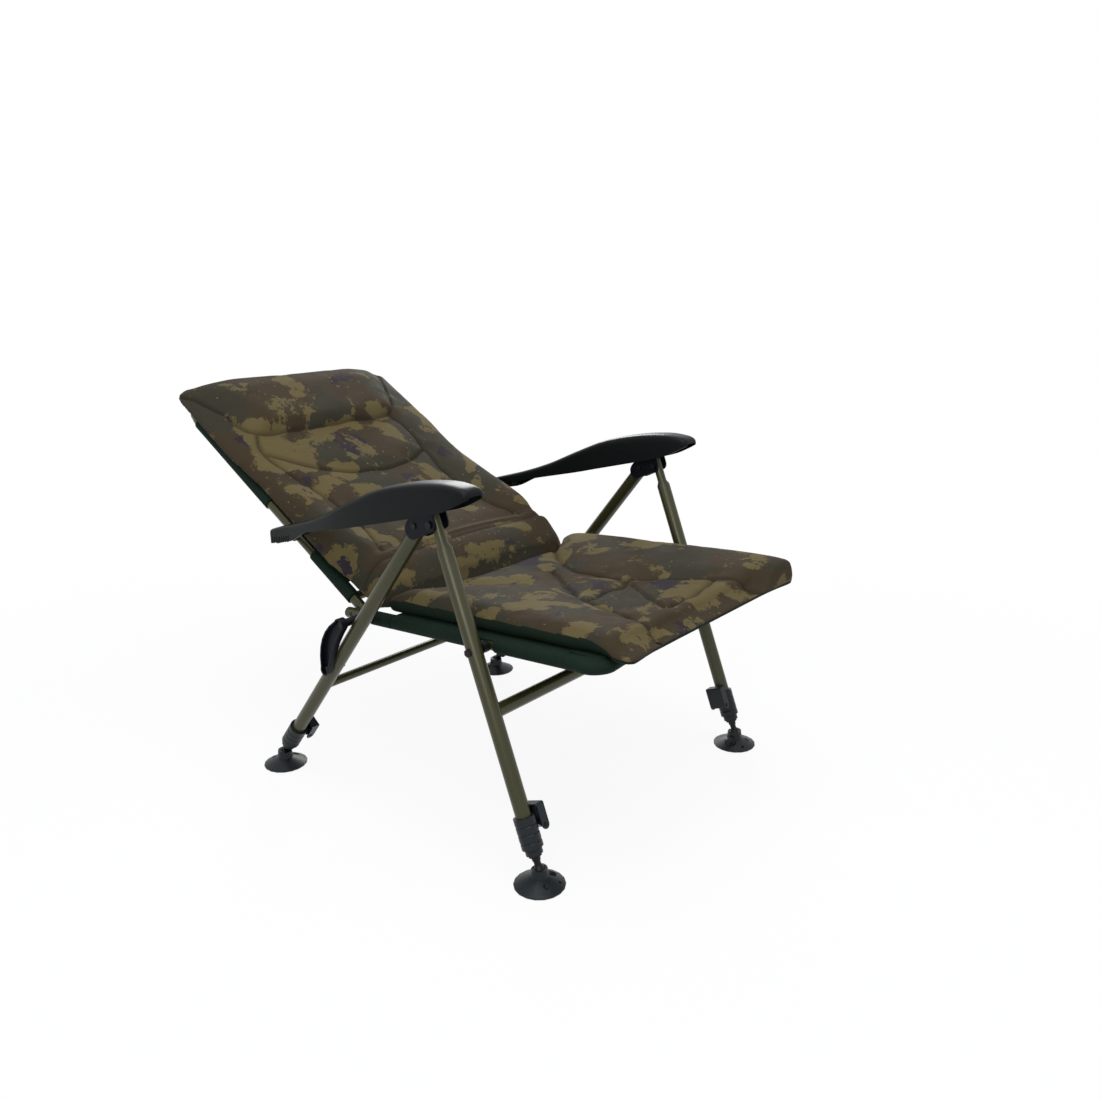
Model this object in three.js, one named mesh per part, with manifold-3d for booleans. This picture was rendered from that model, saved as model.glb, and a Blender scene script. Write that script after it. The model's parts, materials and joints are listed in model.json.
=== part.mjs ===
// Reclining carp fishing chair: two leg frames that fold about a bracket under each armrest,
// a hinged back held by notched armrests, telescopic legs with cam locks and mud feet, and pads.
// Millimetres, +Z up. The sitter faces -Y and the sitter's left is +X.
// The origin is on the ground, under the middle of the chair.
import * as THREE from 'three';
import { mergeVertices } from 'three/addons/utils/BufferGeometryUtils.js';
import Module from 'manifold-3d';

const wasm = await Module();
wasm.setup();

// Clearances
const clearance = 0.3;
const overrun = 4;
const weldDistance = 0.0001;

// Folding frame, seen from the side
const pivotY = -122;
const pivotHeight = 535;
const frontFootY = -310;
const rearFootY = 323;
const ballHeight = 27;
const legSpread = 297;
const rearLegOffset = 22;

// Leg tubes
const legDiameter = 25;
const legWall = 1.5;
const tubeStart = 40;
const swageDiameter = 17;
const swageLength = 32;
const swageTaper = 8;
const frontLegOverrun = 18;
const rearLegGap = 8;
const frontCrossbarDrop = 295;
const frontCrossbarDiameter = 22;
const rearCrossbarDrop = 455;
const rearCrossbarDiameter = 16;
const crossbarWall = 1.5;

// Bolts
const boltDiameter = 8;
const boltHeadDiameter = 13;
const boltHeadHeight = 3.3;

// Telescopic inner legs
const innerLegDiameter = 21;
const innerLegWall = 1.2;
const innerLegTop = 258;
const shoulderStart = 21;
const shoulderThickness = 3;
const neckDiameter = 14;
const neckStart = 16;
const throatDiameter = 11;
const throatEnd = 13;
const ballDiameter = 18;

// Leg collars and their cam levers
const collarDiameter = 34;
const collarTop = 84;
const collarBottom = 25;
const collarFootDiameter = 27;
const collarFootHeight = 8;
const collarStep = 2;
const grooveDepth = 1;
const grooveWidth = 3;
const groovePitch = 13;
const grooveCount = 3;
const leverPinReach = 24;
const leverPinHeight = 61;
const leverPinDiameter = 4.4;
const leverPinHead = 7;
const leverPinHeadHeight = 1.2;
const leverTop = 97;
const leverWidth = 34;
const leverWall = 2.4;
const leverInnerReach = 16;
const leverBridgeReach = 13.2;
const leverTail = 13;
const leverFaceTail = 4;
const leverKnuckle = 9;
const leverBossWidth = 24;

// Mud feet
const footDiameter = 80;
const footRim = 2;
const footEdge = 1.5;
const footShoulderRadius = 24;
const footShoulderHeight = 11.5;
const hubRadius = 12.6;
const hubFootRadius = 14.5;
const hubFootHeight = 15;
const socketLip = 3;
const slotWidth = 14.8;
const slotLeanAngle = 60;
const footHoleDiameter = 5;
const footHoleRadius = 31;
const scoopRadius = 14;
const scoopReach = 24;
const scoopFloor = 4;
const recessRadius = 5;
const recessReach = 22;
const recessFloor = 7;

// Bracket between the legs and the armrest
const cheekThickness = 2.5;
const bracketPivotRadius = 11;
const bracketArmRadius = 10;
const bracketLegReach = 35;
const rivetReach = 26;
const rivetDiameter = 6;
const rivetHeadDiameter = 10;
const rivetHeadHeight = 1.6;

// Armrests
const armPivotAhead = 10;
const armPivotRise = 31;
const armInset = 4;
const armWidth = 50;
const armWall = 3;
const armRoof = 4;
const armNoseReach = 93;
const armPeak = 36;
const armSkirt = 12;
const armInward = 10;
const armShoulder = 20;
const lugRadius = 11;
const lugThickness = 4;
const rackToothCount = 8;
const rackPitch = 9;
const rackToothThickness = 2.4;
const rackToothHeight = 15;
const rackLiftGap = 0.6;
const rackSlopeAngle = 14.25;
const lipThickness = 6;
const armTopShares = [[0, 0.906], [0.03, 0.976], [0.108, 1], [0.232, 0.953], [0.378, 0.841],
  [0.522, 0.671], [0.659, 0.488], [0.797, 0.345], [0.95, 0.205], [1, 0.13]];
const armEdgeShares = [[0, 0.872], [0.049, 0.794], [0.098, 0.729], [0.181, 0.659], [0.404, 0.494],
  [0.522, 0.406], [0.722, 0.271], [0.846, 0.18], [1, 0.08]];
const armWidthShares = [[0, 0.62], [0.02, 0.84], [0.06, 0.95], [0.14, 1], [0.45, 1], [0.7, 0.84], [1, 0.62]];
const armInwardShares = [0.55, 0.95];
const armSkirtShares = [0.76, 0.88];
const armEndShare = 0.08;
const armStationShares = [0, 0.02, 0.06, 0.12, 0.2, 0.34, 0.48, 0.62, 0.76, 0.88, 1];
const armCrownShare = 0.45;

// Seat frame, sling and pad
const seatPivotDrop = 198;
const seatSlopeAngle = 3;
const seatHingeReach = 320;
const seatFrontReach = 205;
const seatTail = 14;
const railDiameter = 19;
const railWall = 1.5;
const railBend = 45;
const spacerLength = 13.4;
const spacerDiameter = 18;
const capPlug = 5;
const capRim = 2.5;
const capDome = 5;
const sleeveThickness = 2.4;
const seatSlingRear = 104;
const seatSlingFront = 55;
const seatSlingNotch = 28;

// Pads
const padInset = 1;
const padRoll = 78;
const rollCrown = 20;
const rollGap = 3;
const padBelly = 0.5;
const padColumns = 15;
const rimShare = 0.025;
const waistShare = 0.5;
const seamDepth = 6;
const seamWidth = 14;
const seatPadFront = 50;
const seatPadRear = 60;
const seatValleyHeight = 20;
const wingHeights = { left: 45, right: 35 };
const seatCorner = 26;
const seatRowShares = [0, 0.015, 0.04, 0.09, 0.16, 0.24, 0.32, 0.4, 0.48, 0.56, 0.64, 0.72, 0.8, 0.88, 1];
const seatChannelShares = [0.3, 0.52, 0.74];
const wingStartShares = { left: 0.3, right: 0.45 };
const wingTopShare = 0.94;
const rimDropShare = 0.12;
const noseDropShare = 0.6;
const wingNoseShares = { left: 0.12, right: 0.6 };
const rollCore = 20;
const rollSideGap = 3.5;
const rollSteps = 10;
const rollFade = 3;
const rollAngles = [134, 122, 110, 98, 86, 72, 58];
const backPadEnd = 638;
const backPadHeight = 34;
const backCorner = 52;
const backFlare = 8;
const backFlareStart = 300;
const backFlareEnd = 400;
const backRowShares = [0, 0.06, 0.13, 0.21, 0.29, 0.36, 0.43, 0.5, 0.57, 0.62, 0.66, 0.7, 0.76, 0.82, 0.88,
  0.93, 0.97, 1];
const backDepthShares = [[0, 1.22], [0.1, 1.16], [0.3, 1.06], [0.5, 0.98], [0.6, 0.94], [0.66, 0.86],
  [0.72, 1.3], [0.8, 1.55], [0.88, 1.5], [0.95, 1.05], [1, 0.35]];
const backChannelShares = [0.2, 0.43, 0.66];
const sideSeamShare = 0.82;
const backRimShare = 0.6;

// Links from the seat to the rear legs
const linkFootDrop = 397;
const linkLegGap = 1.94;
const linkThickness = 12;
const linkFloor = 4;
const linkRim = 3;
const linkFootRadius = 10;
const linkTopRadius = 11;
const linkBelly = 16;
const linkWaist = 5;
const linkSpacerDiameter = 14;

// Back frame, sling and pad
const backAngle = 32.3;
const backTubeDiameter = 19;
const backSideGap = 2;
const backLength = 604;
const backTail = 12;
const backBend = 52;
const backBarReach = 35;
const backBarDiameter = 16;
const backPinReach = 200;
const backPinDiameter = 6;
const backPinFlange = 12;
const backPinFlangeWidth = 5;
const backSlingStart = 62;
const backSlingGapStart = 150;
const backSlingGapEnd = 295;
const backSlingEnd = 545;
const backSlingNotch = 34;

// Where things are in the side view, as (Y, Z)
const pivot = new THREE.Vector2(pivotY, pivotHeight);
const frontBall = new THREE.Vector2(frontFootY, ballHeight);
const rearBall = new THREE.Vector2(rearFootY, ballHeight);
const armPivot = new THREE.Vector2(pivotY + armPivotAhead, pivotHeight + armPivotRise);
const degrees = THREE.MathUtils.degToRad;

const frontLength = pivot.distanceTo(frontBall);
const frontAngle = pivot.clone().sub(frontBall).angle();
const rearSpan = pivot.clone().sub(rearBall);
const rearAngle = rearSpan.angle() - Math.asin(rearLegOffset / rearSpan.length());
const rearLength = Math.sqrt(rearSpan.lengthSq() - rearLegOffset ** 2);

const seatAngle = -degrees(seatSlopeAngle);
const seatPivot = along(pivot, frontAngle, -seatPivotDrop);
const backHinge = along(seatPivot, seatAngle, seatHingeReach);
const linkFoot = along(rearBall, rearAngle, rearLength - linkFootDrop);

// The link's top bolt passes just behind the rear leg, where that crosses the seat's rails.
const railWay = new THREE.Vector2(Math.cos(seatAngle), Math.sin(seatAngle));
const legWay = new THREE.Vector2(Math.cos(rearAngle), Math.sin(rearAngle));
const crossing = rearBall.clone().sub(seatPivot).cross(legWay) / railWay.cross(legWay);
const linkBehind = (legDiameter + linkSpacerDiameter) / 2 + linkLegGap;
const linkTop = along(seatPivot, seatAngle, crossing + linkBehind / railWay.cross(legWay));

const backPinPlace = along(backHinge, degrees(backAngle), backPinReach);
const backPinSeen = backPinPlace.clone().sub(armPivot);

// The armrest ends just behind the back's pin and its edge there lies a skirt below that pin.
const pinRoom = backPinDiameter / 2 + rackLiftGap;
const armLength = armNoseReach + backPinSeen.x + pinRoom + lipThickness + clearance;
const armDepth = (armPeak - backPinSeen.y - pinRoom - rackToothHeight / 2) / (1 - armEndShare);

// Where things are across the chair, from the middle outwards
const legRadius = legDiameter / 2;
const railRadius = railDiameter / 2;
const backRadius = backTubeDiameter / 2;
const boltRadius = boltDiameter / 2;
const holeRadius = boltRadius + clearance;
const railReach = legSpread - legRadius - spacerLength - 2 * clearance - railRadius;
const backReach = railReach - railRadius - backSideGap - backRadius;
const armReach = legSpread - armInset;
const padHalf = railReach - padInset;
const padBase = railRadius + 2 * clearance + sleeveThickness;
const cheekInner = legRadius + clearance;
const cheekOuter = cheekInner + cheekThickness;
const linkInner = legSpread + legRadius + clearance;

// Finishes
const olivePaint = finish(0x4a4a2e, 0.42, 0.35);
const blackPlastic = finish(0x1e2224, 0.5, 0);
const blackSteel = finish(0x1a1a1c, 0.4, 0.7);
const greenCloth = finish(0x26332b, 0.9, 0);
const camoCloth = finish(0x5d553f, 0.9, 0);

function finish(color, roughness, metalness) {
  return new THREE.MeshStandardMaterial({ color, roughness, metalness });
}

// The point a distance from another one, in the direction of an angle, in the side view.
function along(from, angle, distance) {
  return new THREE.Vector2(Math.cos(angle), Math.sin(angle)).multiplyScalar(distance).add(from);
}

// A group whose own Y axis runs along a member of the side view, from a given point.
function frameAt(point, angle) {
  const group = new THREE.Group();
  group.position.set(0, point.x, point.y);
  group.rotation.x = angle;
  return group;
}

// A place of the side view as a group made by frameAt sees it.
function seenFrom(group, point) {
  const offset = point.clone().sub(new THREE.Vector2(group.position.y, group.position.z));
  return offset.rotateAround(new THREE.Vector2(), -group.rotation.x);
}

// One welded skin that faces out, without flat triangles.
function closed(source) {
  const bare = new THREE.BufferGeometry();
  bare.setAttribute('position', source.getAttribute('position').clone());
  bare.setIndex(source.index ? source.index.clone() : null);
  const skin = mergeVertices(bare, weldDistance);
  const corners = [new THREE.Vector3(), new THREE.Vector3(), new THREE.Vector3()];
  const triangles = [];
  let volume = 0;
  for (let i = 0; i < skin.index.count; i += corners.length) {
    const three = corners.map((_, k) => skin.index.getX(i + k));
    if (new Set(three).size < three.length) continue;
    corners.forEach((corner, k) => corner.fromBufferAttribute(skin.attributes.position, three[k]));
    volume += corners[0].dot(corners[1].cross(corners[2]));
    triangles.push(...three);
  }
  if (volume < 0) triangles.reverse();
  skin.setIndex(triangles);
  return skin;
}

function solidOf(geometry) {
  const skin = closed(geometry);
  return new wasm.Manifold(new wasm.Mesh({
    numProp: 3,
    vertProperties: skin.attributes.position.array,
    triVerts: Uint32Array.from(skin.index.array),
  }));
}

function geometryOf(solid) {
  const { vertProperties, triVerts } = solid.getMesh();
  const geometry = new THREE.BufferGeometry();
  geometry.setAttribute('position', new THREE.BufferAttribute(vertProperties, 3));
  geometry.setIndex(new THREE.BufferAttribute(triVerts, 1));
  return geometry;
}

function cut(geometry, ...tools) {
  return geometryOf(tools.reduce((solid, tool) => solid.subtract(solidOf(tool)), solidOf(geometry)));
}

function join(geometry, ...others) {
  return geometryOf(others.reduce((solid, other) => solid.add(solidOf(other)), solidOf(geometry)));
}

// A piece turned about its own Y axis, from pairs of radius and height.
function turned(pairs, sides = 16) {
  return new THREE.LatheGeometry(pairs.map(([radius, height]) => new THREE.Vector2(radius, height)), sides);
}

// A round bar across the chair, from one reach to another, at (y, z).
function barX(radius, from, to, y = 0, z = 0, sides = 10) {
  const bar = new THREE.CylinderGeometry(radius, radius, Math.abs(to - from), sides);
  return bar.rotateZ(Math.PI / 2).translate((from + to) / 2, y, z);
}

// A round bar along Z, at (x, y).
function barZ(radius, from, to, x = 0, y = 0, sides = 8) {
  const bar = new THREE.CylinderGeometry(radius, radius, to - from, sides);
  return bar.rotateX(Math.PI / 2).translate(x, y, (from + to) / 2);
}

// An outline of the side view carried across the chair between two reaches.
function sideways(outline, from, to) {
  const axes = [new THREE.Vector3(0, 1, 0), new THREE.Vector3(0, 0, 1), new THREE.Vector3(1, 0, 0)];
  const depth = Math.abs(to - from);
  const plate = new THREE.ExtrudeGeometry(outline, { depth, bevelEnabled: false, curveSegments: 6 });
  return plate.applyMatrix4(new THREE.Matrix4().makeBasis(...axes)).translate(Math.min(from, to), 0, 0);
}

function block(width, depth, height, x, y, z) {
  return new THREE.BoxGeometry(width, depth, height).translate(x, y, z);
}

// The tight outline round several circles of the side view, as { y, z, radius }.
function hullOutline(circles, steps = 12) {
  const points = circles.flatMap(({ y, z, radius }) => Array.from({ length: steps }, (_, k) =>
    new THREE.Vector2(y, z).add(along(new THREE.Vector2(), 2 * Math.PI * k / steps, radius))));
  points.sort((a, b) => a.x - b.x || a.y - b.y);
  const half = (list) => list.reduce((chain, point) => {
    while (chain.length > 1 && turn(chain.at(-2), chain.at(-1), point) <= 0) chain.pop();
    return [...chain, point];
  }, []);
  return new THREE.Shape([...half(points).slice(0, -1), ...half([...points].reverse()).slice(0, -1)]);
}

function turn(a, b, c) {
  return b.clone().sub(a).cross(c.clone().sub(a));
}

// A skin through closed loops of equally many points, with its two ends filled.
function loft(loops) {
  const count = loops[0].length;
  const geometry = new THREE.BufferGeometry().setFromPoints(loops.flat());
  const triangles = [];
  for (let s = 0; s + 1 < loops.length; s += 1) {
    for (let i = 0; i < count; i += 1) {
      const next = (i + 1) % count;
      const [a, b] = [s * count + i, s * count + next];
      triangles.push(a, b, b + count, a, b + count, a + count);
    }
  }
  [loops[0], loops.at(-1)].forEach((loop, end) => {
    const start = end ? (loops.length - 1) * count : 0;
    const flat = loop.map((point) => new THREE.Vector2(point.x, point.z));
    const sense = Math.sign(THREE.ShapeUtils.area(flat)) * (end ? 1 : -1);
    for (const three of THREE.ShapeUtils.triangulateShape(flat, [])) {
      const way = turn(...three.map((k) => flat[k])) * sense;
      triangles.push(...(way > 0 ? three : [...three].reverse()).map((k) => start + k));
    }
  });
  geometry.setIndex(triangles);
  return geometry;
}

// A smooth curve through a table of shares, read at any share.
function follow(table) {
  const curve = new THREE.SplineCurve(table.map(([x, y]) => new THREE.Vector2(x, y)));
  const points = curve.getPoints(table.length * 8);
  return (share) => {
    const at = Math.max(1, Math.min(points.findIndex((point) => point.x >= share), points.length - 1));
    const [a, b] = [points[at - 1], points[at]];
    return THREE.MathUtils.lerp(a.y, b.y, (share - a.x) / (b.x - a.x));
  };
}

// The middle line of a tube bent into a U, with one step for each straight and several for a bend.
class BentRail extends THREE.Curve {
  constructor(half, start, end, bend, bendSteps) {
    super();
    Object.assign(this, { half, start, end, bend, bendSteps });
    this.stations = 3 + 2 * bendSteps;
  }

  getPoint(t, target = new THREE.Vector3()) {
    const { half, start, end, bend, bendSteps, stations } = this;
    const way = Math.sign(end - start);
    const far = Math.min(t, 1 - t) * stations;
    const side = t < 0.5 ? 1 : -1;
    if (far <= 1) return target.set(side * half, THREE.MathUtils.lerp(start, end - way * bend, far), 0);
    if (far >= 1 + bendSteps) {
      return target.set((half - bend) * (1 - 2 * (t * stations - 1 - bendSteps)), end, 0);
    }
    const angle = (far - 1) / bendSteps * Math.PI / 2;
    const x = side * (half - bend + bend * Math.cos(angle));
    return target.set(x, end - way * bend * (1 - Math.sin(angle)), 0);
  }

  getPointAt(u, target) {
    return this.getPoint(u, target);
  }

  getTangentAt(u, target) {
    return this.getTangent(u, target);
  }
}

function bentTube(rail, radius, wall) {
  const ring = new THREE.Shape().absarc(0, 0, radius, 0, 2 * Math.PI);
  ring.holes.push(new THREE.Path().absarc(0, 0, radius - wall, 0, 2 * Math.PI));
  const steps = rail.stations;
  return new THREE.ExtrudeGeometry(ring, { steps, extrudePath: rail, bevelEnabled: false, curveSegments: 6 });
}

const chair = new THREE.Group();
const sides = { left: 1, right: -1 };
const legs = {
  front: { group: frameAt(frontBall, frontAngle), length: frontLength },
  rear: { group: frameAt(rearBall, rearAngle), length: rearLength },
};
const armGroup = frameAt(armPivot, 0);
const seatGroup = frameAt(seatPivot, seatAngle);
const backGroup = frameAt(backHinge, degrees(backAngle));
const linkAngle = linkTop.clone().sub(linkFoot).angle();
const linkGroup = frameAt(linkFoot, linkAngle);
chair.add(legs.front.group, legs.rear.group, armGroup, seatGroup, backGroup, linkGroup);

function place(group, name, geometry, material, x = 0) {
  const mesh = new THREE.Mesh(closed(geometry), material);
  mesh.geometry.computeVertexNormals();
  mesh.name = name;
  mesh.position.x = x;
  group.add(mesh);
}

// A leg tube stands on the foot's ball. The front one is swaged where it meets the bracket.
function frontLegTube() {
  const swage = swageDiameter / 2;
  const neck = frontLength - swageLength;
  const top = frontLength + frontLegOverrun;
  const outline = [[legRadius - legWall, tubeStart], [legRadius, tubeStart], [legRadius, neck - swageTaper],
    [swage, neck], [swage, top], [swage - legWall, top], [swage - legWall, neck],
    [legRadius - legWall, neck - swageTaper], [legRadius - legWall, tubeStart]];
  return cut(turned(outline), legHole(frontLength), legHole(frontLength - seatPivotDrop));
}

function rearLegTube() {
  const top = rearLength - rearLegGap;
  const inner = legRadius - legWall;
  const outline = [[inner, tubeStart], [legRadius, tubeStart], [legRadius, top], [inner, top],
    [inner, tubeStart]];
  const rivet = barX(rivetDiameter / 2 + clearance, -legDiameter, legDiameter, rearLength - rivetReach);
  return cut(turned(outline), legHole(rearLength - linkFootDrop), rivet);
}

function legHole(height) {
  return barX(holeRadius, -legDiameter, legDiameter, height);
}

// A crossbar is coped to fit round both leg tubes.
function crossbar(diameter, height) {
  const radius = diameter / 2;
  const bore = barX(radius - crossbarWall, -legSpread, legSpread, height);
  const saddles = Object.values(sides).map((side) => {
    const saddle = new THREE.CylinderGeometry(legRadius + clearance, legRadius + clearance, 3 * diameter, 20);
    return saddle.translate(side * legSpread, height, 0);
  });
  return cut(barX(radius, -legSpread, legSpread, height, 0, 16), bore, ...saddles);
}

// Points of a ball's outline at the given angles.
function bowlPoints(radius, angles) {
  return angles.map((angle) => [radius * Math.cos(degrees(angle)), radius * Math.sin(degrees(angle))]);
}

// The inner leg slides in the tube and ends in the ball of the foot.
function innerLeg() {
  const ball = ballDiameter / 2;
  const throat = throatDiameter / 2;
  const outer = innerLegDiameter / 2;
  const inner = outer - innerLegWall;
  const bowl = bowlPoints(ball, [-90, -50, -12, 28]);
  const floor = shoulderStart + shoulderThickness;
  return turned([...bowl, [throat, Math.sqrt(ball ** 2 - throat ** 2)], [throat, throatEnd],
    [neckDiameter / 2, neckStart], [neckDiameter / 2, shoulderStart], [outer, shoulderStart],
    [outer, innerLegTop], [inner, innerLegTop], [inner, floor], [0, floor]], 12);
}

// The collar clamps the tube's end. Its boss, on the side of the chair's middle, carries the lever.
function collar(side) {
  const radius = collarDiameter / 2;
  const foot = collarFootDiameter / 2;
  const slide = innerLegDiameter / 2 + clearance;
  const tube = legRadius + clearance;
  const seat = tubeStart - clearance;
  const shoulder = collarBottom + collarFootHeight;
  const grooves = Array.from({ length: grooveCount }, (_, k) => collarTop - groovePitch * (k + 1));
  const outline = [[slide, collarBottom], [foot, collarBottom], [foot, shoulder],
    [radius, shoulder + collarStep]];
  for (const height of grooves.reverse()) {
    outline.push([radius, height - grooveWidth / 2], [radius - grooveDepth, height],
      [radius, height + grooveWidth / 2]);
  }
  outline.push([radius, collarTop], [tube, collarTop], [tube, seat], [slide, seat], [slide, collarBottom]);
  const knuckle = leverKnuckle / 2;
  const boss = new THREE.Shape();
  boss.moveTo(tube + clearance, leverPinHeight - knuckle);
  boss.absarc(leverPinReach, leverPinHeight, knuckle, -Math.PI / 2, Math.PI / 2);
  boss.lineTo(tube + clearance, leverPinHeight + knuckle);
  return cut(join(turned(outline), inward(boss, leverBossWidth, side)), leverHole(side));
}

// An outline drawn outwards from the leg's axis, carried across and turned to face the chair's middle.
function inward(outline, width, side) {
  const plate = new THREE.ExtrudeGeometry(outline, { depth: width, bevelEnabled: false, curveSegments: 4 });
  plate.translate(0, 0, -width / 2);
  return side > 0 ? plate.rotateY(Math.PI) : plate;
}

function leverHole(side) {
  const radius = leverPinDiameter / 2 + clearance;
  return barZ(radius, -leverWidth, leverWidth, -side * leverPinReach, leverPinHeight);
}

// The cam lever is a shell that opens towards the tube, with a bridge over the collar's rim.
function camLever(side) {
  const face = leverPinReach + leverKnuckle / 2 + clearance;
  const back = face + leverWall;
  const outline = new THREE.Shape();
  outline.moveTo(leverInnerReach, leverPinHeight);
  outline.lineTo(leverInnerReach, leverTop - 2 * leverWall);
  outline.lineTo(leverBridgeReach, leverTop - leverWall);
  outline.lineTo(leverBridgeReach, leverTop);
  outline.lineTo(back - leverWall, leverTop);
  outline.lineTo(back, leverTop - leverWall);
  outline.lineTo(back, leverPinHeight);
  outline.absarc(leverPinReach, leverPinHeight, back - leverPinReach, 0, -Math.PI, true);
  const hollow = new THREE.Shape();
  hollow.moveTo(face, leverPinHeight - leverFaceTail);
  hollow.lineTo(face, leverTop - leverWall);
  hollow.lineTo(leverBridgeReach - overrun, leverTop - leverWall);
  hollow.lineTo(leverBridgeReach - overrun, leverPinHeight - leverTail);
  hollow.lineTo(back + overrun, leverPinHeight - leverTail);
  hollow.lineTo(back + overrun, leverPinHeight - leverFaceTail);
  const room = inward(hollow, leverWidth - 2 * leverWall, side);
  return cut(inward(outline, leverWidth, side), room, leverHole(side));
}

function leverPin(side) {
  const half = leverWidth / 2 + clearance;
  const place = [-side * leverPinReach, leverPinHeight];
  const heads = [[half, half + leverPinHeadHeight], [-half - leverPinHeadHeight, -half]];
  const shank = barZ(leverPinDiameter / 2, -half, half, ...place);
  return join(shank, ...heads.map(([from, to]) => barZ(leverPinHead / 2, from, to, ...place)));
}

// The mud foot turns on the ball. A slot in its hub lets the leg lean, and its disc is scooped.
function mudFoot(side, lean) {
  const ground = -ballHeight;
  const edge = footDiameter / 2;
  const socket = ballDiameter / 2 + clearance;
  const bowl = bowlPoints(socket, [0, -25, -50, -72]);
  const outline = [[0, ground], [edge - footEdge, ground], [edge, ground + footEdge],
    [edge, ground + footEdge + footRim], [footShoulderRadius, ground + footShoulderHeight],
    [hubFootRadius, ground + hubFootHeight], [hubRadius, socketLip],
    [Math.sqrt(socket ** 2 - socketLip ** 2), socketLip], ...bowl, [0, -socket]];
  const disc = turned(outline, 18).rotateX(Math.PI / 2);
  const half = throatDiameter / 2 + clearance;
  const centre = new THREE.Vector2();
  const reach = 2 * hubRadius;
  const leanAngles = Array.from({ length: 3 }, (_, k) => Math.PI / 2 - lean * degrees(slotLeanAngle) * k / 2);
  const [first, last] = [leanAngles[0], leanAngles.at(-1)];
  const slot = new THREE.Shape([along(centre, first + lean * Math.PI / 2, half),
    along(along(centre, first + lean * Math.PI / 2, half), first, reach),
    ...leanAngles.map((angle) => along(centre, angle, reach)),
    along(along(centre, last - lean * Math.PI / 2, half), last, reach),
    along(centre, last - lean * Math.PI / 2, half)]);
  const scoop = new THREE.SphereGeometry(scoopRadius, 8, 5).translate(-side * scoopReach, -lean * scoopFloor,
    ground + scoopFloor + scoopRadius);
  const recess = new THREE.SphereGeometry(recessRadius, 6, 4);
  recess.translate(side * recessReach / 2, -lean * recessReach, ground + recessFloor + recessRadius);
  const drill = along(centre, degrees(slotLeanAngle), footHoleRadius);
  const hole = barZ(footHoleDiameter / 2, ground - overrun, 0, -side * drill.x, -lean * drill.y);
  return cut(disc, sideways(slot, -slotWidth / 2, slotWidth / 2), scoop, recess, hole);
}

// Two cheeks and the web that joins them hold the rear leg, the front leg's pivot and the armrest's pivot.
function armBracket() {
  const group = legs.rear.group;
  const front = seenFrom(group, pivot);
  const arm = seenFrom(group, armPivot);
  const outline = hullOutline([{ y: front.x, z: front.y, radius: bracketPivotRadius },
    { y: arm.x, z: arm.y, radius: bracketArmRadius },
    { y: rearLength - bracketLegReach, z: 0, radius: cheekOuter }]);
  const room = block(2 * cheekInner, 2 * armLength, armLength, 0, rearLength, armLength / 2 - cheekInner);
  const holes = [[front, holeRadius], [arm, holeRadius]].map(([point, radius]) =>
    barX(radius, -legDiameter, legDiameter, point.x, point.y));
  const rivet = barX(rivetDiameter / 2 + clearance, -legDiameter, legDiameter, rearLength - rivetReach);
  return cut(sideways(outline, -cheekOuter, cheekOuter), room, ...holes, rivet);
}

// A bolt across the chair, with a head at each end that is given a height.
function bolt(from, to, headFrom, headTo, y, z) {
  const radius = boltHeadDiameter / 2;
  const heads = [[from - headFrom, from], [to, to + headTo]].filter(([a, b]) => b > a);
  return join(barX(boltRadius, from, to, y, z), ...heads.map(([a, b]) => barX(radius, a, b, y, z, 6)));
}

// The armrest is a moulded channel, open below, with lugs for its pivot and a rack at its rear end.
function armrest(side) {
  const top = follow(armTopShares);
  const edge = follow(armEdgeShares);
  const width = follow(armWidthShares);
  const height = (share) => armPeak - armDepth * (1 - share);
  const place = (share) => -armNoseReach + armLength * share;
  const inwards = (share) => -side * armInward * THREE.MathUtils.smoothstep(share, ...armInwardShares);
  const skirt = (share) => armSkirt * THREE.MathUtils.smoothstep(share, ...armSkirtShares);
  const ring = (share, wall, roof, drop) => {
    const middle = inwards(share);
    const half = armWidth / 2 * width(share) - wall;
    const low = height(edge(share)) - drop;
    const [rightLow, leftLow] = side > 0 ? [low, low - skirt(share)] : [low - skirt(share), low];
    const high = height(top(share)) - roof;
    const shoulder = Math.min(armShoulder, (high - low) * (1 - armCrownShare / 2));
    const arc = Array.from({ length: 7 }, (_, k) => {
      const angle = Math.PI * k / 6;
      const x = Math.sign(Math.cos(angle)) * Math.abs(Math.cos(angle)) ** armCrownShare * half;
      const fall = shoulder * (1 - Math.sin(angle) ** armCrownShare);
      return new THREE.Vector3(middle + x, place(share), high - fall);
    });
    return [new THREE.Vector3(middle - half, place(share), rightLow),
      new THREE.Vector3(middle + half, place(share), leftLow), ...arc];
  };
  const body = loft(armStationShares.map((share) => ring(share, 0, 0, 0)));
  const endShare = 1 - lipThickness / armLength;
  const noseShare = -overrun / armLength;
  const inner = [noseShare, ...armStationShares.filter((share) => share > 0 && share < endShare), endShare];
  const channel = loft(inner.map((share) => ring(share, armWall, armRoof, overrun)));
  const shift = side * (legSpread - armReach);
  const roofline = height(1) - armRoof;
  const lug = (from, to) => sideways(hullOutline([{ y: 0, z: 0, radius: lugRadius },
    { y: 0, z: roofline - lugRadius * 2 / 3, radius: lugRadius / 2 }]), side * from, side * to);
  const cheekGap = cheekOuter + clearance;
  const outerLug = lug(shift * side + cheekGap, armWidth / 2 - armWall / 2);
  const innerLug = lug(shift * side - cheekGap - lugThickness, shift * side - cheekGap);
  const hole = barX(holeRadius, -side * armWidth / 2, side * (armWidth / 2 - armWall / 2));
  return cut(join(cut(body, channel), outerLug, innerLug, ...rack(width, inwards)), hole);
}

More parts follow.
